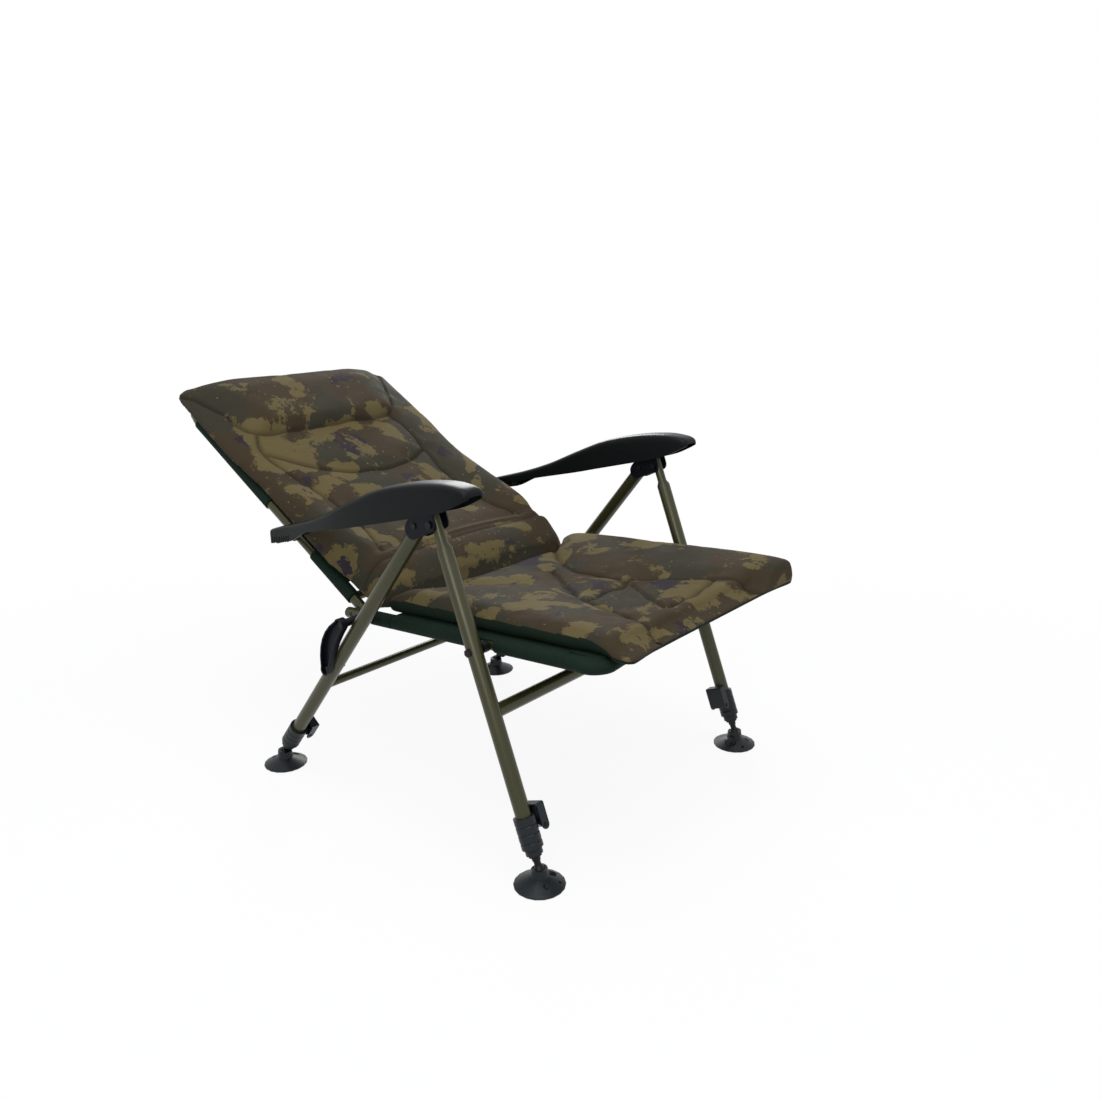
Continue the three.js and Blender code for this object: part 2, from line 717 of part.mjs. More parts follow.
// The rack's teeth lie along the path that the back's pin takes under the armrest.
function rack(width, inwards) {
  const start = backPinSeen;
  const slope = -degrees(rackSlopeAngle);
  const pinRadius = backPinDiameter / 2;
  const tipLine = pinRadius + clearance + rackLiftGap;
  const plate = (distance, thickness, low, tall) => {
    const base = along(along(start, slope, distance), slope + Math.PI / 2, low + tall / 2);
    const share = Math.min(1, (base.x + armNoseReach) / armLength);
    const reach = armWidth * width(share) - armWall;
    return block(reach, thickness, tall, 0, 0, 0).rotateX(slope).translate(inwards(share), base.x, base.y);
  };
  const teeth = Array.from({ length: rackToothCount }, (_, k) =>
    plate(-pinRadius - rackToothThickness - rackPitch * k, rackToothThickness, tipLine, rackToothHeight));
  return teeth;
}

// The link is a crescent with a raised rim that ties the seat's rear end to the rear leg.
function link(side) {
  const length = linkTop.distanceTo(linkFoot);
  const crescent = (inset) => {
    const [foot, top] = [linkFootRadius - inset, linkTopRadius - inset];
    const outline = new THREE.Shape();
    outline.absarc(0, 0, foot, Math.PI / 2, Math.PI * 3 / 2);
    outline.quadraticCurveTo(length / 2, -foot - 2 * linkBelly, length, -top);
    outline.absarc(length, 0, top, -Math.PI / 2, Math.PI / 2);
    outline.quadraticCurveTo(length / 2, foot - 2 * linkWaist, 0, foot);
    return outline;
  };
  const outer = linkInner + linkThickness;
  return cut(sideways(crescent(0), side * linkInner, side * outer),
    sideways(crescent(linkRim), side * (linkInner + linkFloor), side * (outer + overrun)),
    barX(holeRadius, side * (linkInner - overrun), side * outer),
    barX(holeRadius, side * (linkInner - overrun), side * outer, length));
}

// A sling wraps both tubes of a frame and carries a pad.
function sling(tubeReach, tubeRadius, from, to) {
  const inner = tubeRadius + clearance;
  const outer = inner + sleeveThickness;
  const tuck = Math.asin(inner / outer);
  const outline = new THREE.Shape();
  outline.absarc(tubeReach, 0, outer, Math.PI / 2, Math.PI - tuck - 2 * Math.PI, true);
  outline.absarc(-tubeReach, 0, outer, tuck, Math.PI / 2 - 2 * Math.PI, true);
  for (const x of [tubeReach, -tubeReach]) {
    outline.holes.push(new THREE.Path().absarc(x, 0, inner, 0, 2 * Math.PI));
  }
  const depth = to - from;
  const cloth = new THREE.ExtrudeGeometry(outline, { depth, bevelEnabled: false, curveSegments: 7 });
  return cloth.rotateX(Math.PI / 2).scale(1, -1, 1).translate(0, from, 0);
}

// The dip of a sewn seam at a distance from its line.
function seam(distance) {
  return seamDepth * Math.exp(-((distance / seamWidth) ** 2));
}

// The narrowing of a pad near an end with round corners.
function cornerInset(distance, radius) {
  if (distance >= radius) return 0;
  return radius - Math.sqrt(radius ** 2 - (radius - Math.max(distance, 0)) ** 2);
}

// A pad from sections across the chair: a slightly round underside, sides drawn in, and a shaped upper face.
function pad(sections) {
  return loft(sections.map(({ base, lean, half, heightAt }) => {
    const upper = Array.from({ length: padColumns }, (_, k) => {
      const share = Math.cos(Math.PI * k / (padColumns - 1));
      return [half * Math.sign(share) * Math.min(Math.abs(share), 1 - rimShare), heightAt(share)];
    });
    const flat = half * (1 - 2 * rimShare);
    const lower = [-1, -0.5, 0, 0.5, 1].map((share) => [flat * share, padBelly * share ** 2]);
    const waist = heightAt(1) * waistShare;
    const loop = [...upper, [-half, waist], ...lower, [half, waist]];
    return loop.map(([x, height]) => {
      const at = along(base, lean, height);
      return new THREE.Vector3(x, at.x, at.y);
    });
  }));
}

// The radius of the back's roll, or of the hollow round it, at a share of its half length.
function rollRadius(share, gap = 0) {
  return padRoll + gap + rollCrown * Math.max(0, 1 - share ** 2);
}

// Seat pad: a low middle with sewn channels between two wings, the right one pressed lower by use,
// and a hollow rear end for the back's roll.
function seatPad() {
  const front = -seatFrontReach - seatPadFront;
  const rear = seatHingeReach - seatPadRear;
  const channels = seatChannelShares.map((share) => THREE.MathUtils.lerp(front, rear, share));
  const sections = seatRowShares.map((share) => {
    const row = THREE.MathUtils.lerp(front, rear, share);
    const fall = (1 - Math.min(1, (row - front) / seatPadFront)) ** 2;
    const heightAt = (across) => {
      const hand = across > 0 ? 'left' : 'right';
      const reach = Math.abs(across);
      const wing = THREE.MathUtils.smoothstep(reach, wingStartShares[hand], wingTopShare);
      const rim = rimDropShare * THREE.MathUtils.smoothstep(reach, wingTopShare, 1);
      const dip = channels.reduce((sum, at) => sum + seam(row - at), 0) * (1 - wing);
      const high = THREE.MathUtils.lerp(seatValleyHeight, wingHeights[hand], wing) * (1 - rim) - dip;
      const drop = THREE.MathUtils.lerp(noseDropShare, wingNoseShares[hand], wing);
      return high * (1 - fall * drop);
    };
    const half = padHalf - cornerInset(row - front, seatCorner);
    return { base: new THREE.Vector2(row, padBase), lean: Math.PI / 2, half, heightAt };
  });
  const rollHalf = railReach - railRadius - rollSideGap;
  const profile = Array.from({ length: rollSteps + 1 }, (_, k) => {
    const share = 1 - 2 * k / rollSteps;
    return [rollRadius(share, rollGap), share * rollHalf];
  });
  const [first, last] = [profile[0], profile.at(-1)];
  const ends = [[0, legSpread], [first[0], legSpread]];
  const drum = turned([...ends, ...profile, [last[0], -legSpread], [0, -legSpread]], 48);
  return cut(pad(sections), drum.rotateZ(-Math.PI / 2).translate(0, seatHingeReach, 0));
}

// Back pad: a roll about the hinge at its lower end, sewn channels, and a raised headrest.
function backPad() {
  const rim = (across) => THREE.MathUtils.smoothstep(Math.abs(across), sideSeamShare, 1);
  const crown = (across) => 1 - (1 - backRimShare) * rim(across);
  const rollHalf = railReach - railRadius - rollSideGap;
  const rolls = rollAngles.map((angle) => ({
    base: along(new THREE.Vector2(), degrees(angle), rollCore),
    lean: degrees(angle),
    half: rollHalf,
    heightAt: (across) => (rollRadius(across) - rollCore) * crown(across),
  }));
  const start = Math.sqrt(padRoll ** 2 - (padBase + backPadHeight * backDepthShares[0][1]) ** 2);
  const depth = follow(backDepthShares);
  const channels = backChannelShares.map((share) => THREE.MathUtils.lerp(start, backPadEnd, share));
  const rows = backRowShares.map((share) => {
    const row = THREE.MathUtils.lerp(start, backPadEnd, share);
    const lumbar = rollCrown * (1 - THREE.MathUtils.smoothstep(row, start, rollFade * start));
    const heightAt = (across) => {
      const dip = channels.reduce((sum, at) => sum + seam(row - at), 0) * (Math.abs(across) < sideSeamShare);
      return (backPadHeight * depth(share) + lumbar * (1 - across ** 2)) * crown(across) - dip;
    };
    const wide = THREE.MathUtils.lerp(rollHalf, padHalf, THREE.MathUtils.smoothstep(row, start, 2 * start));
    const flare = backFlare * THREE.MathUtils.smoothstep(row, backFlareStart, backFlareEnd);
    const half = wide + flare - cornerInset(backPadEnd - row, backCorner);
    return { base: new THREE.Vector2(row, padBase), lean: Math.PI / 2, half, heightAt };
  });
  return pad([...rolls, ...rows]);
}

// Legs, inner legs, collars, levers and feet
const frontBar = crossbar(frontCrossbarDiameter, frontLength - frontCrossbarDrop);
const rearBar = crossbar(rearCrossbarDiameter, rearLength - rearCrossbarDrop);
place(legs.front.group, 'front_crossbar', frontBar, olivePaint);
place(legs.rear.group, 'rear_crossbar', rearBar, olivePaint);
for (const [end, { group }] of Object.entries(legs)) {
  const ball = new THREE.Group();
  ball.position.copy(group.position);
  chair.add(ball);
  const tube = end === 'front' ? frontLegTube() : rearLegTube();
  for (const [hand, side] of Object.entries(sides)) {
    const x = side * legSpread;
    place(group, `${end}_leg_${hand}`, tube, olivePaint, x);
    place(group, `${end}_inner_leg_${hand}`, innerLeg(), blackSteel, x);
    place(group, `${end}_collar_${hand}`, collar(side), blackPlastic, x);
    place(group, `${end}_cam_lever_${hand}`, camLever(side), blackPlastic, x);
    place(group, `${end}_lever_pin_${hand}`, leverPin(side), blackSteel, x);
    place(ball, `${end}_mud_foot_${hand}`, mudFoot(side, end === 'front' ? 1 : -1), blackPlastic, x);
  }
}

// Brackets, armrests, links and the bolts at every pivot
for (const [hand, side] of Object.entries(sides)) {
  const span = (from, to) => (side > 0 ? [from, to] : [-to, -from]);
  const heads = (near, far) => (side > 0 ? [near, far] : [far, near]);
  const rear = legs.rear.group;
  const rearX = side * legSpread;
  const cheek = cheekOuter + clearance;
  place(rear, `arm_bracket_${hand}`, armBracket(), blackPlastic, rearX);
  const rivetHeads = [-cheek - rivetHeadHeight, cheek].map((x) =>
    barX(rivetHeadDiameter / 2, x, x + rivetHeadHeight, rearLength - rivetReach));
  const rivet = join(barX(rivetDiameter / 2, -cheek, cheek, rearLength - rivetReach), ...rivetHeads);
  place(rear, `bracket_rivet_${hand}`, rivet, blackSteel, rearX);
  const atPivot = seenFrom(rear, pivot);
  const legBolt = bolt(-cheek, cheek, boltHeadHeight, boltHeadHeight, atPivot.x, atPivot.y);
  place(rear, `leg_pivot_bolt_${hand}`, legBolt, blackSteel, rearX);

  place(armGroup, `armrest_${hand}`, armrest(side), blackPlastic, side * armReach);
  const armEnd = armReach + armWidth / 2 - armWall / 2 - clearance;
  const armHead = legSpread - cheek - lugThickness - clearance;
  const armBolt = bolt(...span(armHead, armEnd), ...heads(boltHeadHeight, 0), 0, 0);
  place(armGroup, `armrest_pivot_bolt_${hand}`, armBolt, blackSteel);

  const railOuter = railReach + railRadius + clearance;
  const railInner = railReach - railRadius - clearance;
  const legOuter = legSpread + legRadius + clearance;
  const seatBolt = bolt(...span(railInner, legOuter), ...heads(boltHeadHeight, boltHeadHeight), 0, 0);
  place(seatGroup, `seat_pivot_bolt_${hand}`, seatBolt, blackSteel);
  const spacer = cut(barX(spacerDiameter / 2, ...span(railOuter, railOuter + spacerLength), 0, 0, 16),
    barX(holeRadius, ...span(railInner, legOuter)));
  place(seatGroup, `seat_pivot_spacer_${hand}`, spacer, blackPlastic);

  place(linkGroup, `rear_link_${hand}`, link(side), blackPlastic);
  const linkFace = linkInner + linkFloor + clearance;
  const legInner = legSpread - legRadius - clearance;
  const footBolt = bolt(...span(legInner, linkFace), ...heads(boltHeadHeight, boltHeadHeight), 0, 0);
  place(linkGroup, `link_foot_bolt_${hand}`, footBolt, blackSteel);
  const reach = linkTop.distanceTo(linkFoot);
  const shank = bolt(...span(railOuter, linkFace), ...heads(0, boltHeadHeight), reach, 0);
  const sleeve = barX(linkSpacerDiameter / 2, ...span(railOuter, linkInner - clearance), reach);
  place(linkGroup, `link_top_bolt_${hand}`, join(shank, sleeve), blackSteel);

  const backInner = backReach - backRadius - clearance;
  const hingeEnd = railReach + railRadius - clearance;
  const hingeBolt = bolt(...span(backInner, hingeEnd), ...heads(boltHeadHeight, 0), 0, 0);
  place(backGroup, `back_hinge_bolt_${hand}`, hingeBolt, blackSteel);
  const pinEnd = armReach - armInward + backPinDiameter;
  const flange = backReach + backRadius + clearance;
  const pin = join(barX(backPinDiameter / 2, ...span(backInner, pinEnd), backPinReach),
    barX(backPinFlange / 2, ...span(flange, flange + backPinFlangeWidth), backPinReach),
    barX(backPinFlange / 2, ...span(backInner - boltHeadHeight, backInner), backPinReach));
  place(backGroup, `back_pin_${hand}`, pin, blackSteel);

  const plug = railRadius - railWall - clearance;
  const dome = [[0, -capPlug], [plug, -capPlug], [plug, clearance], [railRadius, clearance],
    [railRadius, capRim], [railRadius / 2, capDome], [0, capDome + clearance]];
  const cap = turned(dome, 10).translate(0, seatHingeReach + seatTail, 0);
  place(seatGroup, `rail_cap_${hand}`, cap, blackPlastic, side * railReach);
}

// Frames, slings and pads
const seatRail = new BentRail(railReach, seatHingeReach + seatTail, -seatFrontReach, railBend, 4);
const seatHoles = [0, seatHingeReach].map((y) => barX(holeRadius, -legSpread, legSpread, y));
place(seatGroup, 'seat_frame', cut(bentTube(seatRail, railRadius, railWall), ...seatHoles), olivePaint);
const backRail = new BentRail(backReach, -backTail, backLength, backBend, 4);
const pinHole = barX(backPinDiameter / 2 + clearance, -legSpread, legSpread, backPinReach);
const backHoles = [barX(holeRadius, -legSpread, legSpread), pinHole];
place(backGroup, 'back_frame', cut(bentTube(backRail, backRadius, railWall), ...backHoles), olivePaint);
const saddleRadius = backRadius + clearance;
const saddle = new THREE.CylinderGeometry(saddleRadius, saddleRadius, backSlingStart * 2, 20);
const backBar = cut(barX(backBarDiameter / 2, -backReach, backReach, backBarReach, 0, 16),
  barX(backBarDiameter / 2 - crossbarWall, -backReach, backReach, backBarReach),
  ...Object.values(sides).map((side) => saddle.clone().translate(side * backReach, backBarReach, 0)));
place(backGroup, 'back_lower_bar', backBar, olivePaint);

const pivotNotches = Object.values(sides).map((side) => block(seatSlingNotch, seatSlingNotch, seatSlingNotch,
  side * railReach, 0, railRadius - clearance - seatSlingNotch / 2));
const seatSlingEnds = [-seatFrontReach + seatSlingFront, seatHingeReach - seatSlingRear];
const seatSling = sling(railReach, railRadius, ...seatSlingEnds);
place(seatGroup, 'seat_sling', cut(seatSling, ...pivotNotches), greenCloth);
const notchLength = backSlingGapEnd - backSlingGapStart;
const notchMiddle = (backSlingGapStart + backSlingGapEnd) / 2;
const notches = Object.values(sides).map((side) => block(2 * backSlingNotch, notchLength, 2 * backSlingNotch,
  side * (backReach + backRadius), notchMiddle, 0));
const backSling = sling(backReach, backRadius, backSlingStart, backSlingEnd);
place(backGroup, 'back_sling', cut(backSling, ...notches), greenCloth);
place(seatGroup, 'seat_cushion', seatPad(), camoCloth);
place(backGroup, 'back_cushion', backPad(), camoCloth);

// The chair stands on the ground with the middle of its box over the origin.
chair.updateMatrixWorld(true);
const box = new THREE.Box3().setFromObject(chair, true);
chair.position.set(0, -(box.min.y + box.max.y) / 2, -box.min.z);

export default chair;
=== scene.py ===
"""Carp fishing chair: quilted camouflage pads, cloth sleeves, moulded armrests and painted tubes."""

import json
import math

import bmesh
import bpy
import numpy as np
from mathutils import Matrix, Vector


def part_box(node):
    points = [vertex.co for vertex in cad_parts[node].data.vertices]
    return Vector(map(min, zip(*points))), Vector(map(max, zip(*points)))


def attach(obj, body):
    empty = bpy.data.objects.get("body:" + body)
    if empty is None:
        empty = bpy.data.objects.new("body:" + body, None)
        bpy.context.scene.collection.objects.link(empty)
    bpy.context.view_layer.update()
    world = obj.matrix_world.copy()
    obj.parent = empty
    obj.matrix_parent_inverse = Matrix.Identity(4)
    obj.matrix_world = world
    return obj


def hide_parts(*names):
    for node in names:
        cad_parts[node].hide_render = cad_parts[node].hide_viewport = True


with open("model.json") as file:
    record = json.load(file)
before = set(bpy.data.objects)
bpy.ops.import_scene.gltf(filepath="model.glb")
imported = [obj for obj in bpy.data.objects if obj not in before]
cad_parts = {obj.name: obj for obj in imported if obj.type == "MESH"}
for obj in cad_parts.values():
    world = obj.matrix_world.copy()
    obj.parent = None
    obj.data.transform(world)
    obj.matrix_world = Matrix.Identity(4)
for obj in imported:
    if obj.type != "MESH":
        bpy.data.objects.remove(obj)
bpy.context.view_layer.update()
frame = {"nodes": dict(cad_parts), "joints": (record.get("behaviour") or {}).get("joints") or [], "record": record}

# Camera, in metres and pixels of a frame 1100 pixels wide
FRAME_PIXELS = 1100
FOCAL_PIXELS = 968.8
SENSOR = 36.0
EYE = Vector((-1.2676, -1.25266, 0.87))
CAMERA_PITCH = 15.14
CAMERA_AZIMUTH = -50.35
CAMERA_ROLL = -0.85

# Side view of the frames, in metres: hinges as (Y, Z), and angles in degrees
JOINTS = {joint["name"]: joint for joint in frame["joints"]}
SEAT_PIVOT = np.array(JOINTS["seat_fold"]["pos_m"][1:])
BACK_HINGE = np.array(JOINTS["recline"]["pos_m"][1:])
SEAT_ANGLE = -3.0
BACK_ANGLE = 32.3

# Pads
PAD_HALF = 0.260
PAD_BASE = 0.0125
PAD_INSET = 0.003
PAD_PRESS = 0.0002
PAD_COLUMNS = 61
ROLL = 0.0775
ROLL_CROWN = 0.020
ROLL_HALF = 0.248
ROLL_GAP = 0.0015
VOXEL = 0.006
CLOTH_FRAMES = 20
CLOTH_PRESSURE = 4.0
CLOTH_STIFFNESS = 25.0
CLOTH_BENDING = 0.6

# Section of a pad: how square its rim is, the share of height left there, and its least edge and underside
RIM_POWER = 14
RIM_SHARE = 0.35
EDGE_HEIGHT = 0.006
UNDER_HEIGHT = 0.0015
UNDER_SHARE = 0.985

# Seams: the groove of a stitched line, the puckers beside it, and the width of the painted shade that darkens it;
# then the band where the print meets the plain cloth
SEAM_START = 0.006
GROOVE_DEPTH = 0.0055
GROOVE_WIDTH = 0.0045
PUCKER_HEIGHT = 0.0012
PUCKER_WIDTH = 0.03
SEAM_SHADE_WIDTH = 0.0030
PRINT_BAND = 0.008

# Pressing of each pad's seams: height over its base where it is full, depth, width, and the puckers' waves
SEAT_PRESS = 0.016, 0.0050, 0.024, (90, 40)
BACK_PRESS = 0.018, 0.0055, 0.026, (80, 37)

# Floor: the share of plain white seen near the chair, and the distance where only white is left
FLOOR_GLOW = 0.90
FLOOR_FADE = 1.5

SIDES = {"left": 1, "right": -1}


def ease(value, start, end):
    """Smoothstep: 0 before start, 1 after end, and 3t^2 - 2t^3 between them."""
    t = np.clip((np.asarray(value, float) - start) / (end - start), 0.0, 1.0)
    return t * t * (3.0 - 2.0 * t)


def hump(distance, width):
    """A bell of height 1: e to the minus square of distance over width."""
    return np.exp(-(np.asarray(distance) / width) ** 2)


# Materials

# Sockets by their place: those of a colour Mix node, and outputs that aren't a node's first
MIX_INPUTS = 0, 6, 7
MIX_OUTPUT = 2
NOISE_COLOUR = 1
WAVE_FACTOR = 1
LENGTH_VALUE = 1
OBJECT_COORDINATES = 3
ATTRIBUTE_FACTOR = 2

# Cloth: the band spacing of a wave texture of scale 1, a weave's strength, and its relief per pitch
WAVE_PERIOD = 0.314
WEAVE_STRENGTH = 0.35
WEAVE_RELIEF = 0.3
CLOTH_SHINE = 0.12


class Value:
    """A shader socket whose operators add Math nodes."""

    def __init__(self, paint, socket):
        self.paint, self.socket = paint, socket

    def maths(self, operation, *values):
        return self.paint.node("ShaderNodeMath", {"operation": operation}, dict(enumerate(values)))

    def __add__(self, other):
        return self.maths("ADD", self, other)

    __radd__ = __add__

    def __sub__(self, other):
        return self.maths("SUBTRACT", self, other)

    def __rsub__(self, other):
        return self.maths("SUBTRACT", other, self)

    def __mul__(self, other):
        return self.maths("MULTIPLY", self, other)

    __rmul__ = __mul__

    def step(self, edge, softness=0.01):
        """0 below the edge and 1 above it, over a narrow band."""
        settings = {"interpolation_type": "SMOOTHSTEP"}
        ends = {"Value": self, "From Min": edge - softness, "From Max": edge + softness}
        return self.paint.node("ShaderNodeMapRange", settings, ends)


class Paint:
    """The node tree of its owner, a material or the world."""

    def __init__(self, owner, output="ShaderNodeOutputMaterial"):
        owner.use_nodes = True
        self.owner, self.tree = owner, owner.node_tree
        self.tree.nodes.clear()
        self.out = self.tree.nodes.new(output)

    def node(self, kind, settings=None, inputs=None, output=0):
        """A node with its settings, then the values or links of its sockets, as the chosen output."""
        made = self.tree.nodes.new(kind)
        for key, value in (settings or {}).items():
            setattr(made, key, value)
        for key, value in (inputs or {}).items():
            if isinstance(value, Value):
                self.tree.links.new(value.socket, made.inputs[key])
            else:
                made.inputs[key].default_value = value
        return Value(self, made.outputs[output])

    def mix(self, factor, first, second):
        """Two colours, each a link or linear light, mixed by a factor."""
        colours = [value if isinstance(value, Value) else (*value, 1.0) for value in (first, second)]
        inputs = dict(zip(MIX_INPUTS, (factor, *colours)))
        return self.node("ShaderNodeMix", {"data_type": "RGBA"}, inputs, MIX_OUTPUT)

    def noise(self, where, scale, detail=2.0, roughness=0.5, output=0):
        values = {"Vector": where, "Scale": scale, "Detail": detail, "Roughness": roughness}
        return self.node("ShaderNodeTexNoise", {}, values, output)

    def place(self, location=(0, 0, 0), rotation=(0, 0, 0), scale=(1, 1, 1)):
        """Object coordinates, moved, turned and stretched."""
        own = self.node("ShaderNodeTexCoord", output=OBJECT_COORDINATES)
        return self.node("ShaderNodeMapping", {}, {
            "Vector": own, "Location": location, "Rotation": rotation, "Scale": scale})

    def bump(self, height, strength, distance, normal=None):
        values = {"Height": height, "Strength": strength, "Distance": distance}
        if normal is not None:
            values["Normal"] = normal
        return self.node("ShaderNodeBump", {}, values)

    def surface(self, shader):
        """The owner, with the shader on its surface."""
        self.tree.links.new(shader.socket, self.out.inputs["Surface"])
        return self.owner

    def finish(self, **sockets):
        """The owner with a plain shader, whose sockets are named in words joined by underscores."""
        named = {key.replace("_", " ").title().replace("Ior", "IOR"): value for key, value in sockets.items()}
        return self.surface(self.node("ShaderNodeBsdfPrincipled", {}, named))


def colour(code):
    """A colour code as linear light."""
    parts = [int(code[i:i + 2], 16) / 255 for i in (0, 2, 4)]
    return tuple(c / 12.92 if c <= 0.04045 else ((c + 0.055) / 1.055) ** 2.4 for c in parts)


def weave(paint, where, pitch):
    """Two crossing wave patterns as a bump, whose threads lie a pitch apart."""
    values = {"Vector": where, "Scale": WAVE_PERIOD / pitch}
    across, down = (
        paint.node("ShaderNodeTexWave", {"bands_direction": way}, values, WAVE_FACTOR) for way in "XY")
    return paint.bump(across + down, WEAVE_STRENGTH, pitch * WEAVE_RELIEF)


def painted_tube():
    """Powder coat with faint clouds, a fine grain and a few scuffs."""
    paint = Paint(bpy.data.materials.new("olive powder coat"))
    where = paint.place()
    cloud = paint.noise(where, 9.0, 3.0)
    grain = paint.noise(where, 900.0, 2.0)
    scuffs = paint.noise(where, 60.0, 6.0, 0.7).step(0.68, 0.05)
    tone = paint.mix(cloud, colour("38371a"), colour("302f17"))
    tone = paint.mix(scuffs * 0.2, tone, colour("4e4c2e"))
    rough = 0.27 + 0.1 * cloud + 0.1 * scuffs
    normal = paint.bump(grain, 0.1, 0.0003)
    return paint.finish(base_color=tone, roughness=rough, metallic=0.25, normal=normal)


def moulding(name, dark, light, rough, shine):
    """Moulded plastic with a fine grain and faint rubbing."""
    paint = Paint(bpy.data.materials.new(name))
    where = paint.place()
    cloud = paint.noise(where, 14.0, 4.0)
    grain = paint.noise(where, 1400.0, 2.0)
    rubbed = paint.noise(where, 130.0, 5.0, 0.7).step(0.66, 0.06)
    tone = paint.mix(cloud, colour(dark), colour(light))
    tone = paint.mix(rubbed * 0.12, tone, colour("2c3133"))
    rough = rough + 0.1 * cloud - 0.05 * rubbed
    normal = paint.bump(grain, 0.2, 0.0004)
    return paint.finish(base_color=tone, roughness=rough, specular_ior_level=shine, normal=normal)


def dark_steel():
    """Blackened steel with faint clouds."""
    paint = Paint(bpy.data.materials.new("blackened steel"))
    where = paint.place()
    cloud = paint.noise(where, 200.0, 3.0)
    tone = paint.mix(cloud, colour("0e0e10"), colour("1d1d1f"))
    return paint.finish(base_color=tone, roughness=0.3 + 0.15 * cloud, metallic=0.7)


def green_cloth(name, angle):
    """Plain woven cloth with soft creases, on axes turned with its frame."""
    paint = Paint(bpy.data.materials.new(name))
    where = paint.place(rotation=(math.radians(-angle), 0, 0))
    cloud = paint.noise(where, 11.0, 4.0)
    creases = paint.noise(paint.place(scale=(18.0, 70.0, 40.0)), 1.0, 3.0)
    tone = paint.mix(cloud, colour("12231a"), colour("0e1b14"))
    normal = paint.bump(creases, 0.35, 0.004, weave(paint, where, 0.0011))
    rough = 0.72 + 0.15 * cloud
    return paint.finish(base_color=tone, roughness=rough, specular_ior_level=CLOTH_SHINE, normal=normal)


def camouflage(name, angle, shift):
    """Blotches of four colours with torn edges, pale specks, painted shade in the seams, and the green cloth of
    the sides and back.
    """
    paint = Paint(bpy.data.materials.new(name))
    turned = (math.radians(-angle), 0, 0)
    where = paint.place(location=shift, rotation=turned)
    bend = paint.noise(where, 11.0, 2.0, output=NOISE_COLOUR)
    moved = paint.node("ShaderNodeVectorMath", {"operation": "SCALE"}, {0: bend, "Scale": 0.05})
    bent = paint.node("ShaderNodeVectorMath", {"operation": "ADD"}, {0: where, 1: moved})
    torn = paint.noise(bent, 60.0, 5.0, 0.72) - 0.5
    fine = paint.noise(where, 320.0, 2.0) - 0.5

    def blotch(scale, offset, edge, ragged):
        """1 inside patches of noise, whose edges are torn by finer noise."""
        far = paint.node("ShaderNodeVectorMath", {"operation": "ADD"}, {0: bent, 1: offset})
        field = paint.noise(far, scale, 1.5, 0.45) + torn * ragged + fine * 0.05
        return field.step(edge, 0.006)

    tone = paint.mix(blotch(8.5, (3.1, 0.4, 0.0), 0.45, 0.26), colour("5b5033"), colour("372d20"))
    tone = paint.mix(blotch(7.5, (0.0, 5.3, 2.0), 0.53, 0.24), tone, colour("302e24"))
    tone = paint.mix(blotch(11.0, (7.7, 2.2, 4.0), 0.67, 0.28), tone, colour("262029"))
    tone = paint.mix(blotch(13.0, (1.7, 8.8, 6.0), 0.60, 0.34), tone, colour("5b5033"))
    dots = paint.node("ShaderNodeTexVoronoi", {"feature": "F1"}, {"Vector": bent, "Scale": 75.0}, 0)
    patch = paint.noise(where, 13.0, 2.0).step(0.52, 0.05)
    specks = (1.0 - (dots + torn * 0.25).step(0.13, 0.02)) * patch
    tone = paint.mix(specks * 0.7, tone, colour("726a52"))
    faded = paint.noise(where, 5.0, 3.0)
    tone = paint.mix(faded * 0.14, tone, colour("45402f"))
    # Painted shade: the seams' grooves and the roll's fold darkened towards near black by the points' seam values.
    seam_shade = paint.node("ShaderNodeAttribute", {"attribute_name": "seam"}, output=ATTRIBUTE_FACTOR)
    tone = paint.mix(seam_shade * 0.6, tone, colour("14120d"))
    rim = paint.node("ShaderNodeAttribute", {"attribute_name": "print"}, output=ATTRIBUTE_FACTOR)
    tone = paint.mix(rim.step(0.5, 0.05), colour("0c1a10"), tone)
    creases = paint.noise(paint.place(rotation=turned, scale=(45.0, 20.0, 30.0)), 1.0, 4.0)
    normal = paint.bump(creases, 0.22, 0.006, weave(paint, where, 0.0012))
    rough = 0.66 + 0.2 * paint.noise(where, 40.0, 2.0)
    return paint.finish(base_color=tone, roughness=rough, specular_ior_level=CLOTH_SHINE, normal=normal)


OLIVE = painted_tube()
BLACK = moulding("black moulding", "0d0f10", "121516", 0.30, 0.09)
# Painted sheen: the feet, collars and levers are the same black plastic as the armrests, with a lighter base
# colour that stands in for part of their sheen.
FOOT_SHEEN = moulding("foot moulding with painted sheen", "161b1e", "1e2427", 0.32, 0.20)
NAVY = moulding("bracket moulding", "0b0d13", "10131b", 0.30, 0.10)
STEEL = dark_steel()
GREEN_SEAT = green_cloth("green cloth of the seat", SEAT_ANGLE)
GREEN_BACK = green_cloth("green cloth of the back", BACK_ANGLE)
CAMO_SEAT = camouflage("camouflage of the seat", SEAT_ANGLE, (0.37, 0.21, 0.0))
CAMO_BACK = camouflage("camouflage of the back", BACK_ANGLE, (1.45, 0.62, 0.0))


# Meshes

# Merging distances of points, in new pieces and in copies of CAD nodes, and the angle of a flat edge
MERGE_NEW = 1e-6
MERGE_COPY = 2e-6
FLAT_ANGLE = 0.5


def piece(name, points, faces, material, smooth=True):
    """A mesh object from points and faces."""
    mesh = bpy.data.meshes.new(name)
    mesh.from_pydata(np.asarray(points, float).tolist(), [], [list(map(int, face)) for face in faces])
    mesh.materials.append(material)
    mesh.polygons.foreach_set("use_smooth", np.full(len(mesh.polygons), smooth))
    made = bpy.data.objects.new(name, mesh)
    bpy.context.collection.objects.link(made)
    return made


